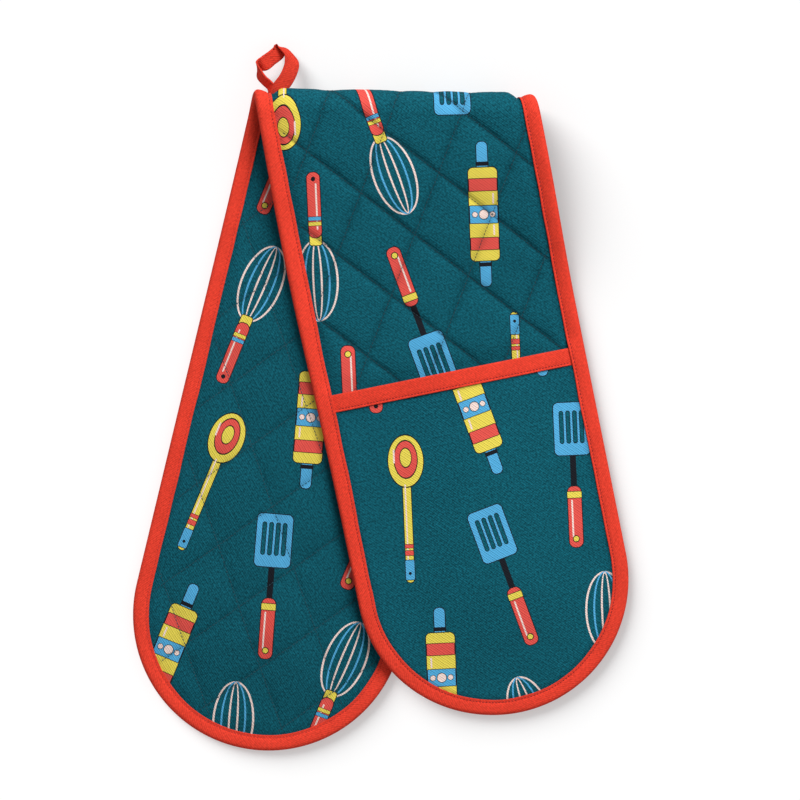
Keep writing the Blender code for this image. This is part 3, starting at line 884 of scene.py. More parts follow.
def cotton_material(name, colour, printed, threads, depth, lint):
    """Woven cotton, mapped in metres of flat cloth. Lint shows on the dyed ground, not on the ink."""
    material, wire, shader = new_material(name, 0.88, 0.0)
    place = wire.add("ShaderNodeUVMap", uv_map="strip").outputs[0]
    weave = wire.group(once("cotton_weave", build_weave), Place=place, Threads=threads)
    ground = wire.vector("SCALE", tuple(colour))
    wire.feed(ground.node.inputs["Scale"], wire.math("MULTIPLY_ADD", weave["Lint"], lint, 1.0))
    if printed:
        ground = wire.group(once("kitchen_print", build_print), Place=place, Ground=ground)["Colour"]
    # Painted shade: the colour is darkened by this vertex attribute, down to CREASE_SHADE, in creases,
    # beside tapes and on the loop's near run.
    deep = wire.add("ShaderNodeAttribute", attribute_name="crease_and_painted_shade").outputs["Fac"]
    shade = wire.math("MULTIPLY", weave["Tint"], wire.between(deep, 0, 1, 1.0, CREASE_SHADE))
    shaded = wire.vector("SCALE", ground)
    wire.feed(shaded.node.inputs["Scale"], shade)
    wire.feed(shader["Base Color"], shaded)
    wire.feed(shader["Roughness"], wire.between(weave["Height"], 0, 1, 0.80, 0.95))
    add_bump(wire, shader, weave["Height"], depth)
    return material


def thread_material(name, colour):
    """Twisted sewing thread."""
    material, wire, shader = new_material(name, 0.7, 0.2)
    place = wire.add("ShaderNodeTexCoord").outputs["Object"]
    twist = wire.noise(place, TWIST_SCALE)
    dark = (*(part * TWIST_SHADE for part in colour), 1)
    wire.feed(shader["Base Color"], wire.mix(wire.between(twist, 0.35, 0.65), dark, (*colour, 1)))
    add_bump(wire, shader, twist, TWIST_DEPTH)
    return material


def wadding_material(name):
    """Felted wadding: soft and off-white, with flecks."""
    material, wire, shader = new_material(name, 1.0, 0.3)
    place = wire.add("ShaderNodeTexCoord").outputs["Object"]
    felt = wire.noise(place, FELT_SCALE, detail=4.0)
    wire.feed(shader["Base Color"], wire.mix(felt, FELT_DARK, FELT_LIGHT))
    add_bump(wire, shader, felt, FELT_DEPTH)
    return material


def cloth_or_tape(name, settings, colour, printed, lint):
    """A woven material with its settings' ribs, built the first time it is asked for."""
    return once(name, lambda name: cotton_material(
        name, colour, printed, settings.ribs, settings.weave_depth, lint))


def printed_cotton():
    settings = bpy.context.scene.glove_cloth
    return cloth_or_tape("kitchen_cotton", settings, settings.ground, True, COTTON_LINT)


def plain_lining():
    settings = bpy.context.scene.glove_cloth
    return cloth_or_tape("plain_lining", settings, settings.lining, False, COTTON_LINT)


def tape_cotton():
    settings = bpy.context.scene.glove_tape
    return cloth_or_tape("tape_cotton", settings, settings.colour, False, TAPE_LINT)


def thread_of(settings, kind, side):
    """The needle's thread shows on the outer side, and the bobbin's on the inner side."""
    colour = settings.thread if side == "outer" else settings.bobbin
    return once(f"{side}_{kind}_thread", lambda name: thread_material(name, colour))


def tape_thread(side="outer"):
    return thread_of(bpy.context.scene.glove_tape, "tape", side)


def quilting_thread(side):
    return thread_of(bpy.context.scene.glove_cloth, "quilting", side)


# Settings


class ClothSettings(bpy.types.PropertyGroup):
    """The quilted cotton and the pockets."""

    ground: bpy.props.FloatVectorProperty(
        name="Ground", description="Colour of the cloth between the printed shapes",
        subtype="COLOR", size=3, min=0, max=1, default=linear(15, 85, 99))
    lining: bpy.props.FloatVectorProperty(
        name="Lining", description="Colour of the pockets' plain lining",
        subtype="COLOR", size=3, min=0, max=1, default=linear(18, 82, 95))
    coral: bpy.props.FloatVectorProperty(
        name="Coral", description="First colour of the printed shapes",
        subtype="COLOR", size=3, min=0, max=1, default=linear(222, 84, 76))
    yellow: bpy.props.FloatVectorProperty(
        name="Yellow", description="Second colour of the printed shapes",
        subtype="COLOR", size=3, min=0, max=1, default=linear(226, 208, 84))
    sky: bpy.props.FloatVectorProperty(
        name="Sky", description="Third colour of the printed shapes",
        subtype="COLOR", size=3, min=0, max=1, default=linear(82, 166, 212))
    cream: bpy.props.FloatVectorProperty(
        name="Cream", description="Colour of the printed highlights",
        subtype="COLOR", size=3, min=0, max=1, default=linear(236, 212, 204))
    ink: bpy.props.FloatVectorProperty(
        name="Ink", description="Colour of the printed outlines",
        subtype="COLOR", size=3, min=0, max=1, default=linear(28, 30, 36))
    # Partly painted shade: the needle's quilting thread is darker than its own teal, for the shade of its
    # needle holes.
    thread: bpy.props.FloatVectorProperty(
        name="Quilting Thread", description="Colour of the thread that quilts the strip",
        subtype="COLOR", size=3, min=0, max=1, default=linear(6, 44, 55))
    bobbin: bpy.props.FloatVectorProperty(
        name="Bobbin Thread", description="Colour of the quilting's thread on the inner side",
        subtype="COLOR", size=3, min=0, max=1, default=linear(12, 70, 83))
    ribs: bpy.props.FloatProperty(
        name="Ribs per Metre", description="Twill ribs in a metre of cloth",
        min=100, max=4000, default=500)
    weave_depth: bpy.props.FloatProperty(
        name="Weave Depth", description="Height of the twill ribs",
        subtype="DISTANCE", unit="LENGTH", precision=5, min=0, max=0.002, default=0.00034)
    stitch: bpy.props.FloatProperty(
        name="Quilting Stitch", description="Length from one needle hole to the next",
        subtype="DISTANCE", unit="LENGTH", precision=4, min=0.001, max=0.02, default=0.0023)


class TapeSettings(bpy.types.PropertyGroup):
    """The folded tape on the edges and the mouths, and the hanging loop."""

    colour: bpy.props.FloatVectorProperty(
        name="Tape", description="Colour of the tape",
        subtype="COLOR", size=3, min=0, max=1, default=linear(218, 62, 45))
    # Partly painted shade: the needle's thread on the tape is coloured darker than its own red, for the
    # shade of its needle holes.
    thread: bpy.props.FloatVectorProperty(
        name="Tape Thread", description="Colour of the thread along the tape",
        subtype="COLOR", size=3, min=0, max=1, default=linear(138, 18, 18))
    bobbin: bpy.props.FloatVectorProperty(
        name="Bobbin Thread", description="Colour of the tape's thread on the inner side",
        subtype="COLOR", size=3, min=0, max=1, default=linear(196, 46, 36))
    ribs: bpy.props.FloatProperty(
        name="Ribs per Metre", description="Twill ribs in a metre of tape",
        min=100, max=4000, default=560)
    weave_depth: bpy.props.FloatProperty(
        name="Weave Depth", description="Height of the tape's ribs",
        subtype="DISTANCE", unit="LENGTH", precision=5, min=0, max=0.002, default=0.00020)
    stitch: bpy.props.FloatProperty(
        name="Edge Stitch", description="Length from one needle hole to the next",
        subtype="DISTANCE", unit="LENGTH", precision=4, min=0.001, max=0.02, default=0.0021)
    stitch_inset: bpy.props.FloatProperty(
        name="Stitch Inset", description="From the tape's inner edge to its stitches",
        subtype="DISTANCE", unit="LENGTH", precision=4, min=0.0005, max=0.005, default=0.0017)


class StageSettings(bpy.types.PropertyGroup):
    """The floor, the lamps and the camera."""

    floor: bpy.props.FloatVectorProperty(
        name="Floor", description="Colour of the floor",
        subtype="COLOR", size=3, min=0, max=1, default=(0.65, 0.65, 0.65))
    sky_strength: bpy.props.FloatProperty(
        name="Fill Light", description="Strength of the light from all round", min=0, max=4, default=0.40)
    key_power: bpy.props.FloatProperty(
        name="Key Light", description="Power of the lamp that lights the glove",
        subtype="POWER", unit="POWER", min=0, max=1000, default=93.0)
    floor_strength: bpy.props.FloatProperty(
        name="Floor Light", description="Strength of the lamp that casts the shadow on the floor",
        min=0, max=10, default=4.06)
    camera_height: bpy.props.FloatProperty(
        name="Camera Height", description="Height of the camera over the floor",
        subtype="DISTANCE", unit="LENGTH", min=0.3, max=10, default=1.40)


# Pieces


# Where each cloth was cut from the print, in metres across and along it
OUTER_CUT = (0.013, 0.021)
INNER_CUT = (0.031, 0.052)
POCKET_CUT = (0.018, 0.044)


def print_outer(along, across):
    """The place on the print of a point of the strip's outer cloth, which faces the other way."""
    return OUTER_CUT[0] - across, OUTER_CUT[1] + along


def print_inner(along, across):
    """The place on the print of a point of the strip's inner cloth."""
    return INNER_CUT[0] + across, INNER_CUT[1] + along


def print_pocket(half):
    """The pockets' print stands upright with the mouth up."""
    return lambda along, across: (POCKET_CUT[0] + half * across, POCKET_CUT[1] - half * along)


STRETCH_NAMES = ("rear", "fold", "front")
# Painted shade in the quilted cloths' colour: INNER_SHADE is the share of the shade in creases that the
# inner side gets, and the plain shades set the shade painted all over, for fine puckers that the mesh
# doesn't carry.
INNER_SHADE = 0.4
PLAIN_SHADE = 0.3
PLAIN_SHADE_LESS = 0.18


def place_stretch(piece, stretch):
    """The halves ride on their bodies, and the fold keeps its place, baked into its mesh."""
    if stretch == 1:
        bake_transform(piece)
    else:
        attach(piece, "rear_half" if stretch == 0 else "front_half")


class GLOVE_OT_make_cloths(bpy.types.Operator):
    """Make the quilted cotton on both sides of the strip"""

    bl_idname = "glove.make_cloths"
    bl_label = "Quilted Cloths"

    def execute(self, context):
        plan = strip_plan()
        sizes = [flat_size(plan, stretch) for stretch in range(3)]
        for side, face, toward, place_on_print, shaded in (
                ("outer", outer_face, 1, print_outer, 1.0),
                ("inner", inner_face, -1, print_inner, INNER_SHADE)):
            def back(along, across):
                return face(along, across) + toward * COTTON

            # Painted shade in the cloth's colour: some all over and more in the creases, with less in the
            # creases and more all over on the inner side.
            def shade(along, across):
                return PLAIN_SHADE - PLAIN_SHADE_LESS * shaded + crease_and_painted_shade(along, across) * shaded

            bm = bend_sheet(plan.copy(), face, back, place_on_print, shade)
            keep_normals(bm)
            for stretch, name in enumerate(STRETCH_NAMES):
                piece = make_piece(f"{name}_{side}_cloth", bm, printed_cotton(), stretch)
                place_stretch(piece, stretch)
                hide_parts(f"{name}_{side}_fabric")
                area, flat_cut = sizes[stretch]
            bm.free()
        plan.free()
        return {"FINISHED"}


class GLOVE_OT_make_wadding(bpy.types.Operator):
    """Make the wadding between the cloths"""

    bl_idname = "glove.make_wadding"
    bl_label = "Wadding"

    def execute(self, context):
        plan = strip_plan()
        gap = COTTON + TOUCH
        bm = bend_sheet(plan, lambda a, c: outer_face(a, c) + gap, lambda a, c: inner_face(a, c) - gap,
                        print_outer)
        keep_normals(bm)
        material = once("felted_wadding", wadding_material)
        for stretch, name in enumerate(STRETCH_NAMES):
            piece = make_piece(f"{name}_wadding_pad", bm, material, stretch)
            place_stretch(piece, stretch)
            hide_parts(f"{name}_wadding")
        bm.free()
        return {"FINISHED"}


HALVES = ((-1, "rear"), (1, "front"))
SIDES = ((-1, "left"), (1, "right"))


def hang_on_side(piece, half, side, name):
    """A pocket's piece keeps its place, baked into its mesh."""
    seam = folded(half * MOUTH, side * (HALF_WIDTH - BINDING_WIDTH), 0)
    middle = folded(half * MOUTH, 0, 0)
    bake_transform(piece)


class GLOVE_OT_make_pockets(bpy.types.Operator):
    """Make the pockets' panels and their linings"""

    bl_idname = "glove.make_pockets"
    bl_label = "Pockets"

    def execute(self, context):
        for half, name in HALVES:
            for layer, start, outer, depth, material, slot in (
                    ("fabric", MOUTH + PANEL_START, PANEL_OUTER, COTTON, printed_cotton(),
                     "printed_cotton"),
                    ("lining", MOUTH + LINING_START, LINING_OUTER, LINING, plain_lining(), "lining")):
                def face(along, across):
                    dip = mouth_dip(along, across) * PANEL_DIP_SHARE
                    return outer + dip + panel_depth(along, across) - panel_wave(along, across)

                def back(along, across):
                    return face(along, across) + depth

                plan = panel_plan(half, start)
                bm = bend_sheet(plan.copy(), face, back, print_pocket(half), pocket_painted_shade)
                keep_normals(bm)
                for part, (side, side_name) in enumerate(SIDES):
                    area, flat_cut = flat_size(plan, part)
                    piece = make_piece(f"{name}_pocket_{layer}_{side_name}", bm, material, part)
                    hang_on_side(piece, half, side, name)
                    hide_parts(f"{name}_pocket_{layer}")
                bm.free()
                plan.free()
        return {"FINISHED"}


# The folded tape


def outline_places():
    """The hem line right round the strip: its places, the way round and the stretch of each."""
    reach = HALF_WIDTH - HEM_INSET
    places = []

    def side_row(half, side):
        start = along_at(half * HALF_BEND, side * reach)
        steps = ceil((end_centre(half) - abs(start)) / TAPE_STEP)
        centre = half * end_centre(half)
        return [(start + (centre - start) * step / steps, side * reach) for step in range(steps)]

    def arc(half):
        steps = ceil(pi * HALF_WIDTH / TAPE_STEP)
        centre = half * end_centre(half)
        return [(centre + half * reach * sin(step / steps * pi), reach * cos(step / steps * pi))
                for step in range(steps + 1)]

    def bend(side):
        steps = ceil(2 * HALF_BEND / TAPE_STEP)
        runs = [HALF_BEND * (2 * step / steps - 1) for step in range(1, steps)]
        return [(along_at(run, side * reach), side * reach) for run in runs]

    front = side_row(1, 1) + arc(1) + side_row(1, -1)[::-1]
    rear = side_row(-1, -1) + [(a, -c) for a, c in arc(-1)] + side_row(-1, 1)[::-1]
    for stretch, row in ((2, front), (1, bend(-1)[::-1]), (0, rear), (1, bend(1))):
        places += [(place, stretch) for place in row]
    return places


TAPE_ROUND = 0.0028
TAPE_THICKNESS = 0.0007
TAPE_MIDDLE = EDGE_DEPTH / 2
TAPE_WAVER = 0.00040
TAPE_WAVERS_PER_METRE = 46
# The tape's outer and inner sides lean in from here, by so much, on the cloth but not on a pocket
LEAN_START = 0.0025
OUTER_LEAN = 0.00185
INNER_LEAN = 0.00080
OUTER_LEVEL = 0.00005
POCKET_STEP = 0.0085
POCKET_STEP_LENGTH = 0.0075
# Where the front tape bulges over the end of the mouth's tape
KNOT = 0.00050
KNOT_AT = 0.005
KNOT_REACH = 0.007
# The groove of the stitches, the ripples beside it, the slack and the crown of the tape
GROOVE = 0.00048
GROOVE_REACH = 0.0008
TAPE_RIPPLE = 0.00026
TAPE_RIPPLE_REACH = 0.0028
TAPE_RIPPLES_PER_METRE = 185
TAPE_SLACK = 0.00026
TAPE_SLACKS_PER_METRE = (62, 90)
TAPE_SLACK_START = 0.003
CROWN = 0.00018
CROWN_AT = 0.0055
CROWN_REACH = 0.003
# Nothing of the rear half goes lower than this over the floor
FLOOR_ROOM = 0.00002


def pocket_share(along):
    """0 where the tape lies on the quilted cloth, 1 where it lies on a pocket's panel."""
    return ease((abs(along) - (MOUTH - POCKET_STEP)) / POCKET_STEP_LENGTH)


def round_share(inset, radius):
    """How much of its thickness a rounded edge has reached at an inset from the edge."""
    return sqrt(max(1 - ((radius - inset) / radius) ** 2, 0)) if inset < radius else 1


def tape_width(way, side):
    """How wide the folded tape shows, a little uneven as sewn."""
    return BINDING_WIDTH + TAPE_WAVER * wobble(way * TAPE_WAVERS_PER_METRE, side * 3.1, 0.5)


def tape_depth(inset, side, along, way, under=0.0):
    """How deep the tape's surface lies, or its back at so much under the surface.

    The side is -1 on the outer side and 1 on the inner."""
    width = tape_width(way, side)
    stitch_inset = bpy.context.scene.glove_tape.stitch_inset
    lean = ease((inset - LEAN_START) / (width - LEAN_START))
    if side < 0:
        flat = OUTER_LEAN * (1 - pocket_share(along)) * lean + OUTER_LEVEL
        flat -= KNOT * bump(abs(along) - MOUTH - KNOT_AT, KNOT_REACH) * (along > 0) * lean
    else:
        flat = EDGE_DEPTH - INNER_LEAN * lean
    from_stitch = inset - (width - stitch_inset)
    ripple = wobble(way * TAPE_RIPPLES_PER_METRE, side * 5.0, 1.0) * bump(from_stitch, TAPE_RIPPLE_REACH)
    slack = wobble(way * TAPE_SLACKS_PER_METRE[0], side * 2.0, inset * TAPE_SLACKS_PER_METRE[1])
    slack *= ease(inset / TAPE_SLACK_START)
    height = TAPE_RIPPLE * ripple + TAPE_SLACK * slack - GROOVE * bump(from_stitch, GROOVE_REACH)
    height += CROWN * bump(inset - CROWN_AT, CROWN_REACH)
    depth = max(flat + side * height, FLOOR_ROOM if along < 0 else -1)
    return TAPE_MIDDLE + (depth - side * under - TAPE_MIDDLE) * round_share(inset, TAPE_ROUND)


# The points of the tape's section, from its inner edge and from the strip's edge: face, then back
FACE_FROM_INNER = (-0.00012, 0.0005, 0.0011, 0.0017, 0.0023, 0.0030, 0.0042, 0.0056)
FACE_FROM_EDGE = (0.0036, 0.0025, 0.0017, 0.0010, 0.0005, 0.00015)
BACK_FROM_INNER = (0.0001, 0.0017, 0.0040)
BACK_FROM_EDGE = (0.0030, 0.0012)
# Where the faces and the backs lie on the tape's own cloth, for its weave
FACE_ON_CLOTH = 0.004
BACK_ON_CLOTH = 0.03


def tape_ring(along, across, way):
    """The folded tape's section at a point of the hem line: its face, then its back."""
    ring, skin = [], []

    def add(inset, side, under, at):
        shift = under * (1 - min(inset / TAPE_ROUND, 1))
        place = hem_place(along, across, inset + shift)
        ring.append(folded(*place, tape_depth(inset, side, along, way, under) + front_sink(*place)))
        skin.append(at)

    for side in (-1, 1):
        width = tape_width(way, side)
        insets = [width - short for short in FACE_FROM_INNER] + list(FACE_FROM_EDGE)
        for inset in insets if side < 0 else [0.0] + insets[::-1]:
            add(inset, side, 0.0, side * (FACE_ON_CLOTH + inset))
    for side in (1, -1):
        width = tape_width(way, side)
        insets = [width - short for short in BACK_FROM_INNER] + list(BACK_FROM_EDGE)
        for inset in insets if side > 0 else [0.0] + insets[::-1]:
            add(inset, side, TAPE_THICKNESS, side * (BACK_ON_CLOTH - inset))
    return ring, skin


class GLOVE_OT_make_edge_tape(bpy.types.Operator):
    """Make the folded tape round the strip's edge, with its stitches"""

    bl_idname = "glove.make_edge_tape"
    bl_label = "Edge Tape"

    def execute(self, context):
        settings = context.scene.glove_tape
        places = outline_places()
        ways = [0.0]
        for (last, _), (place, _) in zip(places, places[1:]):
            ways.append(ways[-1] + hypot(place[0] - last[0], place[1] - last[1]))
        rings, skin = [], None
        for (place, _), way in zip(places, ways):
            ring, skin = tape_ring(*place, way)
            rings.append(ring)
        rings.append(rings[0])
        borders = self.borders(places, ways)
        bm = tube(rings, ways + [ways[-1] + TAPE_STEP], skin,
                  lambda way: sum(way > border for border in borders))
        keep_normals(bm)
        for part, (name, stretch) in enumerate((("front_edge", 2), ("fold_left", 1),
                                                ("rear_edge", 0), ("fold_right", 1))):
            piece = make_piece(f"{name}_tape", bm, tape_cotton(), part)
            place_stretch(piece, stretch)
            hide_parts(f"{name}_binding")
        bm.free()
        self.stitch(places, ways, settings)
        return {"FINISHED"}

    @staticmethod
    def borders(places, ways):
        """Where round the edge one stretch of the tape ends and the next begins."""
        changes = [index for index in range(1, len(places)) if places[index][1] != places[index - 1][1]]
        return [ways[index if places[index][1] != 1 else index - 1] for index in changes]

    @staticmethod
    def stitch(places, ways, settings):
        """Sew the tape along its inner edge on both sides."""
        for side, side_name in ((-1, "outer"), (1, "inner")):
            groups = {}
            next_hole, row, held = 0.0, [], None
            for ((along, across), stretch), way in zip(places, ways):
                if held is not None and stretch != held:
                    row = []
                held = stretch
                if way < next_hole:
                    continue
                next_hole = way + settings.stitch
                inset = tape_width(way, side) - settings.stitch_inset

                def surface(a, c):
                    place = hem_place(a, c, inset)
                    return folded(*place, tape_depth(inset, side, a, way) + front_sink(*place))

                outward = side_outward(along, across, side, inset)
                if not row:
                    groups.setdefault(stretch, []).append(row)
                row.append((surface(along, across) + outward * TAPE_THREAD_OUT, outward))
            for stretch, rows in groups.items():
                piece = sew(f"{STRETCH_NAMES[stretch]}_{side_name}_edge_stitches", rows, TAPE_THREAD,
                            tape_thread(side_name))
                place_stretch(piece, stretch)


def side_outward(along, across, side, inset):
    """The way that the strip's outer or inner side faces near the hem."""
    place = hem_place(along, across, inset)
    shallow = folded(*place, SEAM_DEPTH + side * MM + front_sink(*place))
    deep = folded(*place, SEAM_DEPTH + front_sink(*place))
    return (shallow - deep).normalized()


# The mouth tape


MOUTH_ROUND = 0.0009
MOUTH_LEVEL = 0.00008
MOUTH_WAVER = 0.00030
MOUTH_WAVERS_PER_METRE = 50
MOUTH_RIPPLE = 0.00016
MOUTH_SLACK = 0.00018
MOUTH_SLACKS_PER_METRE = (60, 90)
MOUTH_GROOVE = 0.00030
# The insets of its face's points, and of its back's and how far the back lies behind the face
MOUTH_FACE = [*(MOUTH_TAPE_WIDTH - short for short in (0, 0.0006, 0.0012, 0.0018, 0.0024, 0.0032)),
              0.0060, 0.0036, 0.0018, 0.0009, 0.0004, 0.0001]
MOUTH_BACK = [MOUTH_TAPE_WIDTH, 0.0060, 0.0012]
MOUTH_BEHIND = 0.0004


def mouth_depth(inset, outer, across, half, under=0.0):
    """How deep the mouth's tape lies, or its back, at an inset from the mouth's edge."""
    stitch_inset = bpy.context.scene.glove_tape.stitch_inset
    width = MOUTH_TAPE_WIDTH + MOUTH_WAVER * wobble(across * MOUTH_WAVERS_PER_METRE, half * 4.0, 2.0)
    dip = mouth_dip(MOUTH, across)
    from_stitch = inset - (width - stitch_inset)
    ripple = wobble(across * TAPE_RIPPLES_PER_METRE, half * 5.0, 6.0) * bump(from_stitch, TAPE_RIPPLE_REACH)
    slack = wobble(across * MOUTH_SLACKS_PER_METRE[0], half * 2.0, inset * MOUTH_SLACKS_PER_METRE[1])
    height = MOUTH_RIPPLE * ripple + MOUTH_SLACK * slack - MOUTH_GROOVE * bump(from_stitch, GROOVE_REACH)
    if outer:
        depth = max(MOUTH_LEVEL + dip - height, FLOOR_ROOM if half < 0 else -1) + under
    else:
        depth = PANEL_INNER + dip / 2 + height / 2 - under
    middle = PANEL_INNER / 2 + dip
    return middle + (depth - middle) * round_share(inset, MOUTH_ROUND)


class GLOVE_OT_make_mouth_tape(bpy.types.Operator):
    """Make the folded tape on the pockets' mouths, with its stitches"""

    bl_idname = "glove.make_mouth_tape"
    bl_label = "Mouth Tape"

    def execute(self, context):
        settings = context.scene.glove_tape
        profile = ([(inset, True, 0.0) for inset in MOUTH_FACE] + [(0.0, True, 0.0)]
                   + [(inset, False, 0.0) for inset in MOUTH_FACE[::-1]]
                   + [(inset, False, MOUTH_BEHIND) for inset in MOUTH_BACK]
                   + [(inset, True, MOUTH_BEHIND) for inset in MOUTH_BACK[::-1]])
        skin = [(-1 if outer else 1) * inset for inset, outer, _ in profile]
        reach = HALF_WIDTH - PANEL_EDGE
        steps = 2 * ceil(reach / TAPE_STEP)
        for half, name in HALVES:
            rings, runs = [], []
            for step in range(steps + 1):
                across = reach * (2 * step / steps - 1)
                ring = []
                for inset, outer, under in profile:
                    along = half * (MOUTH + inset)
                    depth = mouth_depth(inset, outer, across, half, under) + panel_depth(along, across)
                    ring.append(folded(along, across, depth))
                rings.append(ring)
                runs.append(across)
            bm = tube(rings, runs, skin, lambda across: int(across > 0))
            keep_normals(bm)
            for part, (side, side_name) in enumerate(SIDES):
                piece = make_piece(f"{name}_mouth_tape_{side_name}", bm, tape_cotton(), part)
                hang_on_side(piece, half, side, name)
                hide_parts(f"{name}_pocket_mouth_binding")
                self.stitch(half, name, side, side_name, settings)
            bm.free()
        return {"FINISHED"}

    @staticmethod
    def stitch(half, name, side, side_name, settings):
        """Sew one side of a mouth's tape, from the middle out."""
        inset = MOUTH_TAPE_WIDTH - settings.stitch_inset

        def surface(along, across):
            depth = mouth_depth(inset, True, across, half) + panel_depth(along, across)
            return folded(along, across, depth)

        row = []
        count = floor((HALF_WIDTH - BINDING_WIDTH) / settings.stitch)
        for index in range(count + 1):
            place, outward = hole_at(surface, half * (MOUTH + inset), side * index * settings.stitch)
            outward = outward if outward.z * half > 0 else -outward
            row.append((place + outward * TAPE_THREAD_OUT, outward))
        piece = sew(f"{name}_mouth_stitches_{side_name}", [row], TAPE_THREAD, tape_thread())
        hang_on_side(piece, half, side, name)


# The quilting

HOLE_WAVER = 0.0004
HOLE_FROM_TAPE = 0.0005
SEEN_IN_POCKET = 0.03


class GLOVE_OT_make_quilting(bpy.types.Operator):
    """Make the thread of the quilting on both sides of the strip"""

    bl_idname = "glove.make_quilting"
    bl_label = "Quilting Stitches"

    def execute(self, context):
        spacing = context.scene.glove_cloth.stitch * 1
        for side, depth_at, toward in (("outer", outer_face, -1), ("inner", inner_face, 1)):
            def surface(along, across):
                return folded(along, across, depth_at(along, across) + toward * QUILTING_THREAD_OUT)

            groups = {0: [], 1: [], 2: []}
            for line in self.lines(spacing):
                held, row = None, []
                for along, across in line:
                    across += HOLE_WAVER * wobble(along * 70, across * 9, 4.0)
                    stretch = stretch_of(along, across)
                    covered = side == "outer" and abs(along) > MOUTH + SEEN_IN_POCKET
                    if inset_of(along, across) < HEM_INSET + HOLE_FROM_TAPE or covered:
                        held = None
                        continue
                    if stretch != held:
                        row = []
                        groups[stretch].append(row)
                    held = stretch
                    place, outward = hole_at(surface, along, across)
                    inside = folded(along, across, SEAM_DEPTH + front_sink(along, across))
                    outward = outward if outward.dot(place - inside) > 0 else -outward
                    row.append((place, outward))
            for stretch, rows in groups.items():
                piece = sew(f"{STRETCH_NAMES[stretch]}_{side}_quilting", rows, QUILTING_THREAD,
                            quilting_thread(side))
                place_stretch(piece, stretch)
        return {"FINISHED"}

    @staticmethod
    def lines(spacing):
        """The places of the needle holes on every stitched line."""
        reach = REAR_LENGTH + HALF_WIDTH
        step_first = spacing * sin(FIRST_ANGLE + SECOND_ANGLE) / SECOND_SPACING
        step_second = spacing * sin(FIRST_ANGLE + SECOND_ANGLE) / FIRST_SPACING
        cells = ceil(reach / FIRST_SPACING)
        for number in range(-cells, cells + 1):
            count = floor(cells / step_first)
            yield [lattice_place(number, index * step_first) for index in range(-count, count)]
            count = floor(cells / step_second)
            yield [lattice_place(index * step_second, number) for index in range(-count, count)]


# The hanging loop


def smooth_line(values, share):
    """A value on the smooth curve through a row of values."""
    place = min(max(share, 0), 1) * (len(values) - 1)
    index = min(floor(place), len(values) - 2)
    part = place - index
    held = [values[min(max(index + shift, 0), len(values) - 1)] for shift in (-1, 0, 1, 2)]
    before, here, after, last = held
    return (here + (after - before) * part / 2
            + (2 * before - 5 * here + 4 * after - last) * part ** 2 / 2
            + (3 * here - before - 3 * after + last) * part ** 3 / 2)


def loop_section(share):
    """The middle of the loop's tape, and its half width and half thickness as vectors."""
    heights = [LOOP_OVER] * 2 + [0.0] * (len(LOOP_LINE) - 4) + [-LOOP_OVER] * 2
    points = [Vector((across * LOOP_LENGTH, out * LOOP_LENGTH, height - max(out, 0) * LOOP_DROP))
              for (across, out, _, _), height in zip(LOOP_LINE, heights)]
    near = 0.01
    centre = JOINT_PLACES["loop_swing"] + smooth_line(points, share)
    ahead = (smooth_line(points, share + near) - smooth_line(points, share - near)).normalized()
    flat = ahead.cross(Vector((0, 0, 1))).normalized()
    up = flat.cross(ahead)
    roll = radians(smooth_line([row[2] for row in LOOP_LINE], share))
    half_width = smooth_line([row[3] for row in LOOP_LINE], share) * MM / 2
    wide = (flat * cos(roll) + up * sin(roll)) * half_width
    thick = (up * cos(roll) - flat * sin(roll)) * LOOP_TAPE / 2
    return centre, wide, thick


# Half round the tape's section, in half widths and half thicknesses: its edge, then one face
LOOP_PROFILE = [(-1.0, 0.0), (-0.97, -0.7), (-0.88, -1.0), (-0.62, -0.9), (-0.3, -1.0), (0.0, -1.05),
                (0.3, -1.0), (0.62, -0.9), (0.88, -1.0), (0.97, -0.7)]
LOOP_BACK_ON_CLOTH = 0.012
# The rows of stitches: how far out towards the edge, and how deep they are drawn in
LOOP_ROW = 0.72
LOOP_GROOVE = 0.9


class GLOVE_OT_make_loop(bpy.types.Operator):
    """Make the twisted hanging loop at the fold"""

    bl_idname = "glove.make_loop"
    bl_label = "Hanging Loop"

    def execute(self, context):
        settings = context.scene.glove_tape
        profile = LOOP_PROFILE + [(-wide, -thick) for wide, thick in LOOP_PROFILE]
        rings, runs = [], []
        for step in range(LOOP_STEPS + 1):
            share = step / LOOP_STEPS
            centre, wide, thick = loop_section(share)
            rings.append([centre + wide * w + thick * t for w, t in profile])
            runs.append(share * LOOP_TAPE_RUN)
        skin = [LOOP_TAPE_WIDTH / 2 * w if t < 0 else LOOP_BACK_ON_CLOTH - LOOP_TAPE_WIDTH / 2 * w
                for w, t in profile]
        bm = tube(rings, runs, skin)
        # Painted shade: the loop's near run is darkened in its colour, most at the foot and fading out
        # along the run.
        deep, flat = bm.verts.layers.float.new("crease_and_painted_shade"), flat_layer(bm)
        for vert in bm.verts:
            vert[deep] = LOOP_PAINTED_SHADE * (1 - ease(vert[flat].x / LOOP_PAINTED_SHADE_RUN))
        tape = make_piece("hanging_loop_tape", bm, tape_cotton())
        bm.free()
        rows = []
        for edge in (-LOOP_ROW, LOOP_ROW):
            for face in (-1, 1):
                row = []
                count = floor(LOOP_TAPE_RUN / settings.stitch)
                for index in range(count + 1):
                    centre, wide, thick = loop_section(index / count)
                    place = centre + wide * edge + thick * face * LOOP_GROOVE
                    row.append((place, thick.normalized() * face))
                rows.append(row)
        thread = sew("hanging_loop_stitches", rows, LOOP_THREAD, tape_thread())
        for piece in (tape, thread):
            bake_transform(piece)
        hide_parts("hanging_loop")
        return {"FINISHED"}


# The stage

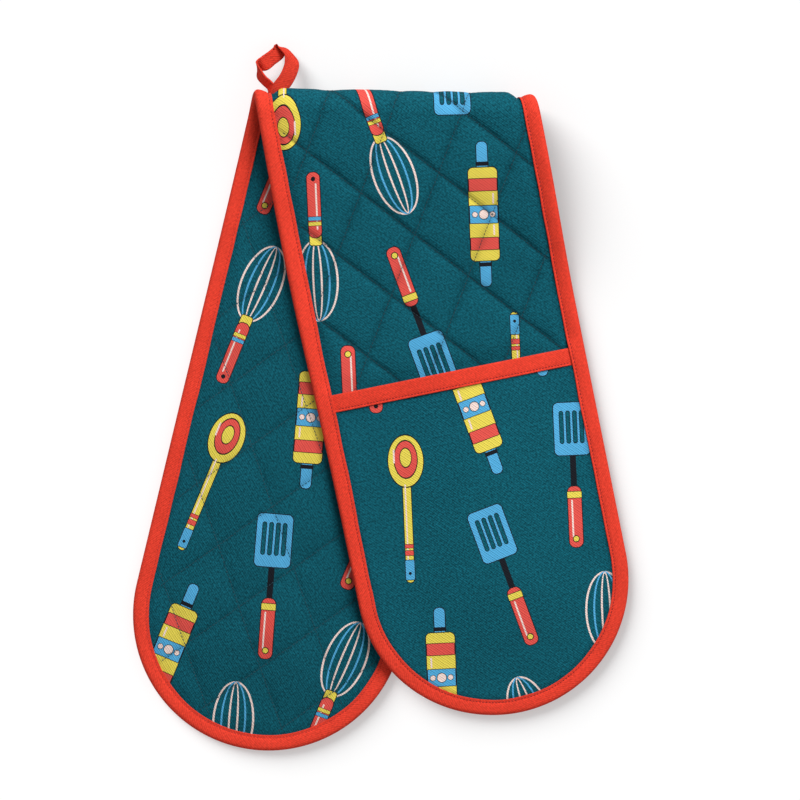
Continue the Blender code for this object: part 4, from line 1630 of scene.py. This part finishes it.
FLOOR_HALF = 6
FLOOR_DROP = 0.0002
FLOOR_GLOW = 0.34
LAMP_SIZE = 1.5
LAMP_PLACE = (0.70, 1.95, 2.05)
FLOOR_LAMP_ANGLE = radians(40)
FLOOR_LAMP_PLACE = (-1.67, 1.99, 1.50)
VIEW_WIDTH = 0.5321
VIEW_CENTRE = (0.0104, -0.0003)
VIEW_TURN = radians(1.05)


class GLOVE_OT_make_stage(bpy.types.Operator):
    """Make the floor, the lamps and the camera"""

    bl_idname = "glove.make_stage"
    bl_label = "Stage"

    def execute(self, context):
        settings = context.scene.glove_stage
        self.make_floor(settings)
        self.make_light(context, settings)
        self.make_camera(context, settings)
        context.scene.view_settings.view_transform = "Standard"
        return {"FINISHED"}

    @staticmethod
    def make_floor(settings):
        """A pale floor that glows a little to the camera, as the photo's white ground does."""
        bm = bmesh.new()
        bmesh.ops.create_grid(bm, x_segments=1, y_segments=1, size=FLOOR_HALF)
        bmesh.ops.translate(bm, verts=bm.verts, vec=(0, 0, -FLOOR_DROP))
        material = bpy.data.materials.new("pale_floor")
        material.use_nodes = True
        wire = Wiring(material.node_tree)
        shader = material.node_tree.nodes["Principled BSDF"].inputs
        shader["Roughness"].default_value = 1.0
        shader["Specular IOR Level"].default_value = 0.0
        shader["Base Color"].default_value = (*settings.floor, 1)
        seen = wire.add("ShaderNodeLightPath").outputs["Is Camera Ray"]
        wire.feed(shader["Emission Color"], (1, 1, 1, 1))
        wire.feed(shader["Emission Strength"], wire.math("MULTIPLY", seen, FLOOR_GLOW))
        floor_piece = make_piece("pale_floor", bm, material)
        bm.free()

    @staticmethod
    def make_light(context, settings):
        """One lamp lights the glove alone and one the floor alone, besides the light all round."""
        world = bpy.data.worlds.new("studio")
        world.use_nodes = True
        background = world.node_tree.nodes["Background"]
        background.inputs["Color"].default_value = (1, 1, 1, 1)
        background.inputs["Strength"].default_value = settings.sky_strength
        context.scene.world = world
        lamp = bpy.data.lights.new("cloth_lamp", "AREA")
        lamp.shape = "DISK"
        lamp.size = LAMP_SIZE
        lamp.energy = settings.key_power
        floor_lamp = bpy.data.lights.new("floor_lamp", "SUN")
        floor_lamp.angle = FLOOR_LAMP_ANGLE
        floor_lamp.energy = settings.floor_strength
        for light, place, state in ((lamp, LAMP_PLACE, "EXCLUDE"),
                                    (floor_lamp, FLOOR_LAMP_PLACE, "INCLUDE")):
            holder = bpy.data.objects.new(light.name, light)
            holder.location = place
            holder.rotation_euler = (-holder.location).to_track_quat("-Z", "Y").to_euler()
            context.collection.objects.link(holder)
            lit = bpy.data.collections.new(f"{light.name}_receivers")
            lit.objects.link(bpy.data.objects["pale_floor"])
            lit.collection_objects[0].light_linking.link_state = state
            holder.light_linking.receiver_collection = lit

    @staticmethod
    def make_camera(context, settings):
        """The camera looks straight down."""
        camera = bpy.data.cameras.new("camera")
        camera.lens = camera.sensor_width * settings.camera_height / VIEW_WIDTH
        camera.clip_start = 0.05
        holder = bpy.data.objects.new("camera", camera)
        holder.location = (*VIEW_CENTRE, settings.camera_height)
        holder.rotation_euler = (0, 0, VIEW_TURN)
        context.collection.objects.link(holder)
        context.scene.camera = holder


class GLOVE_PT_panel(bpy.types.Panel):
    """The oven glove's settings and pieces."""

    bl_label = "Double Oven Glove"
    bl_idname = "GLOVE_PT_panel"
    bl_space_type = "VIEW_3D"
    bl_region_type = "UI"
    bl_category = "Oven Glove"

    def draw(self, context):
        layout = self.layout
        for settings in (context.scene.glove_cloth, context.scene.glove_tape, context.scene.glove_stage):
            box = layout.box()
            box.label(text=settings.bl_rna.description)
            for key in settings.__annotations__:
                box.prop(settings, key)
        for operator in OPERATORS:
            layout.operator(operator.bl_idname)


SETTINGS = (ClothSettings, TapeSettings, StageSettings)
OPERATORS = (GLOVE_OT_make_stage, GLOVE_OT_make_cloths, GLOVE_OT_make_wadding, GLOVE_OT_make_pockets,
             GLOVE_OT_make_edge_tape, GLOVE_OT_make_mouth_tape, GLOVE_OT_make_quilting,
             GLOVE_OT_make_loop)


def register():
    for item in SETTINGS + OPERATORS + (GLOVE_PT_panel,):
        bpy.utils.register_class(item)
    bpy.types.Scene.glove_cloth = bpy.props.PointerProperty(type=ClothSettings)
    bpy.types.Scene.glove_tape = bpy.props.PointerProperty(type=TapeSettings)
    bpy.types.Scene.glove_stage = bpy.props.PointerProperty(type=StageSettings)


def unregister():
    del bpy.types.Scene.glove_stage
    del bpy.types.Scene.glove_tape
    del bpy.types.Scene.glove_cloth
    for item in reversed(SETTINGS + OPERATORS + (GLOVE_PT_panel,)):
        bpy.utils.unregister_class(item)


def main():
    """Make the whole glove on its stage."""
    register()
    bpy.ops.glove.make_stage()
    bpy.ops.glove.make_cloths()
    bpy.ops.glove.make_wadding()
    bpy.ops.glove.make_pockets()
    bpy.ops.glove.make_edge_tape()
    bpy.ops.glove.make_mouth_tape()
    bpy.ops.glove.make_quilting()
    bpy.ops.glove.make_loop()


if __name__ == "__main__":
    main()
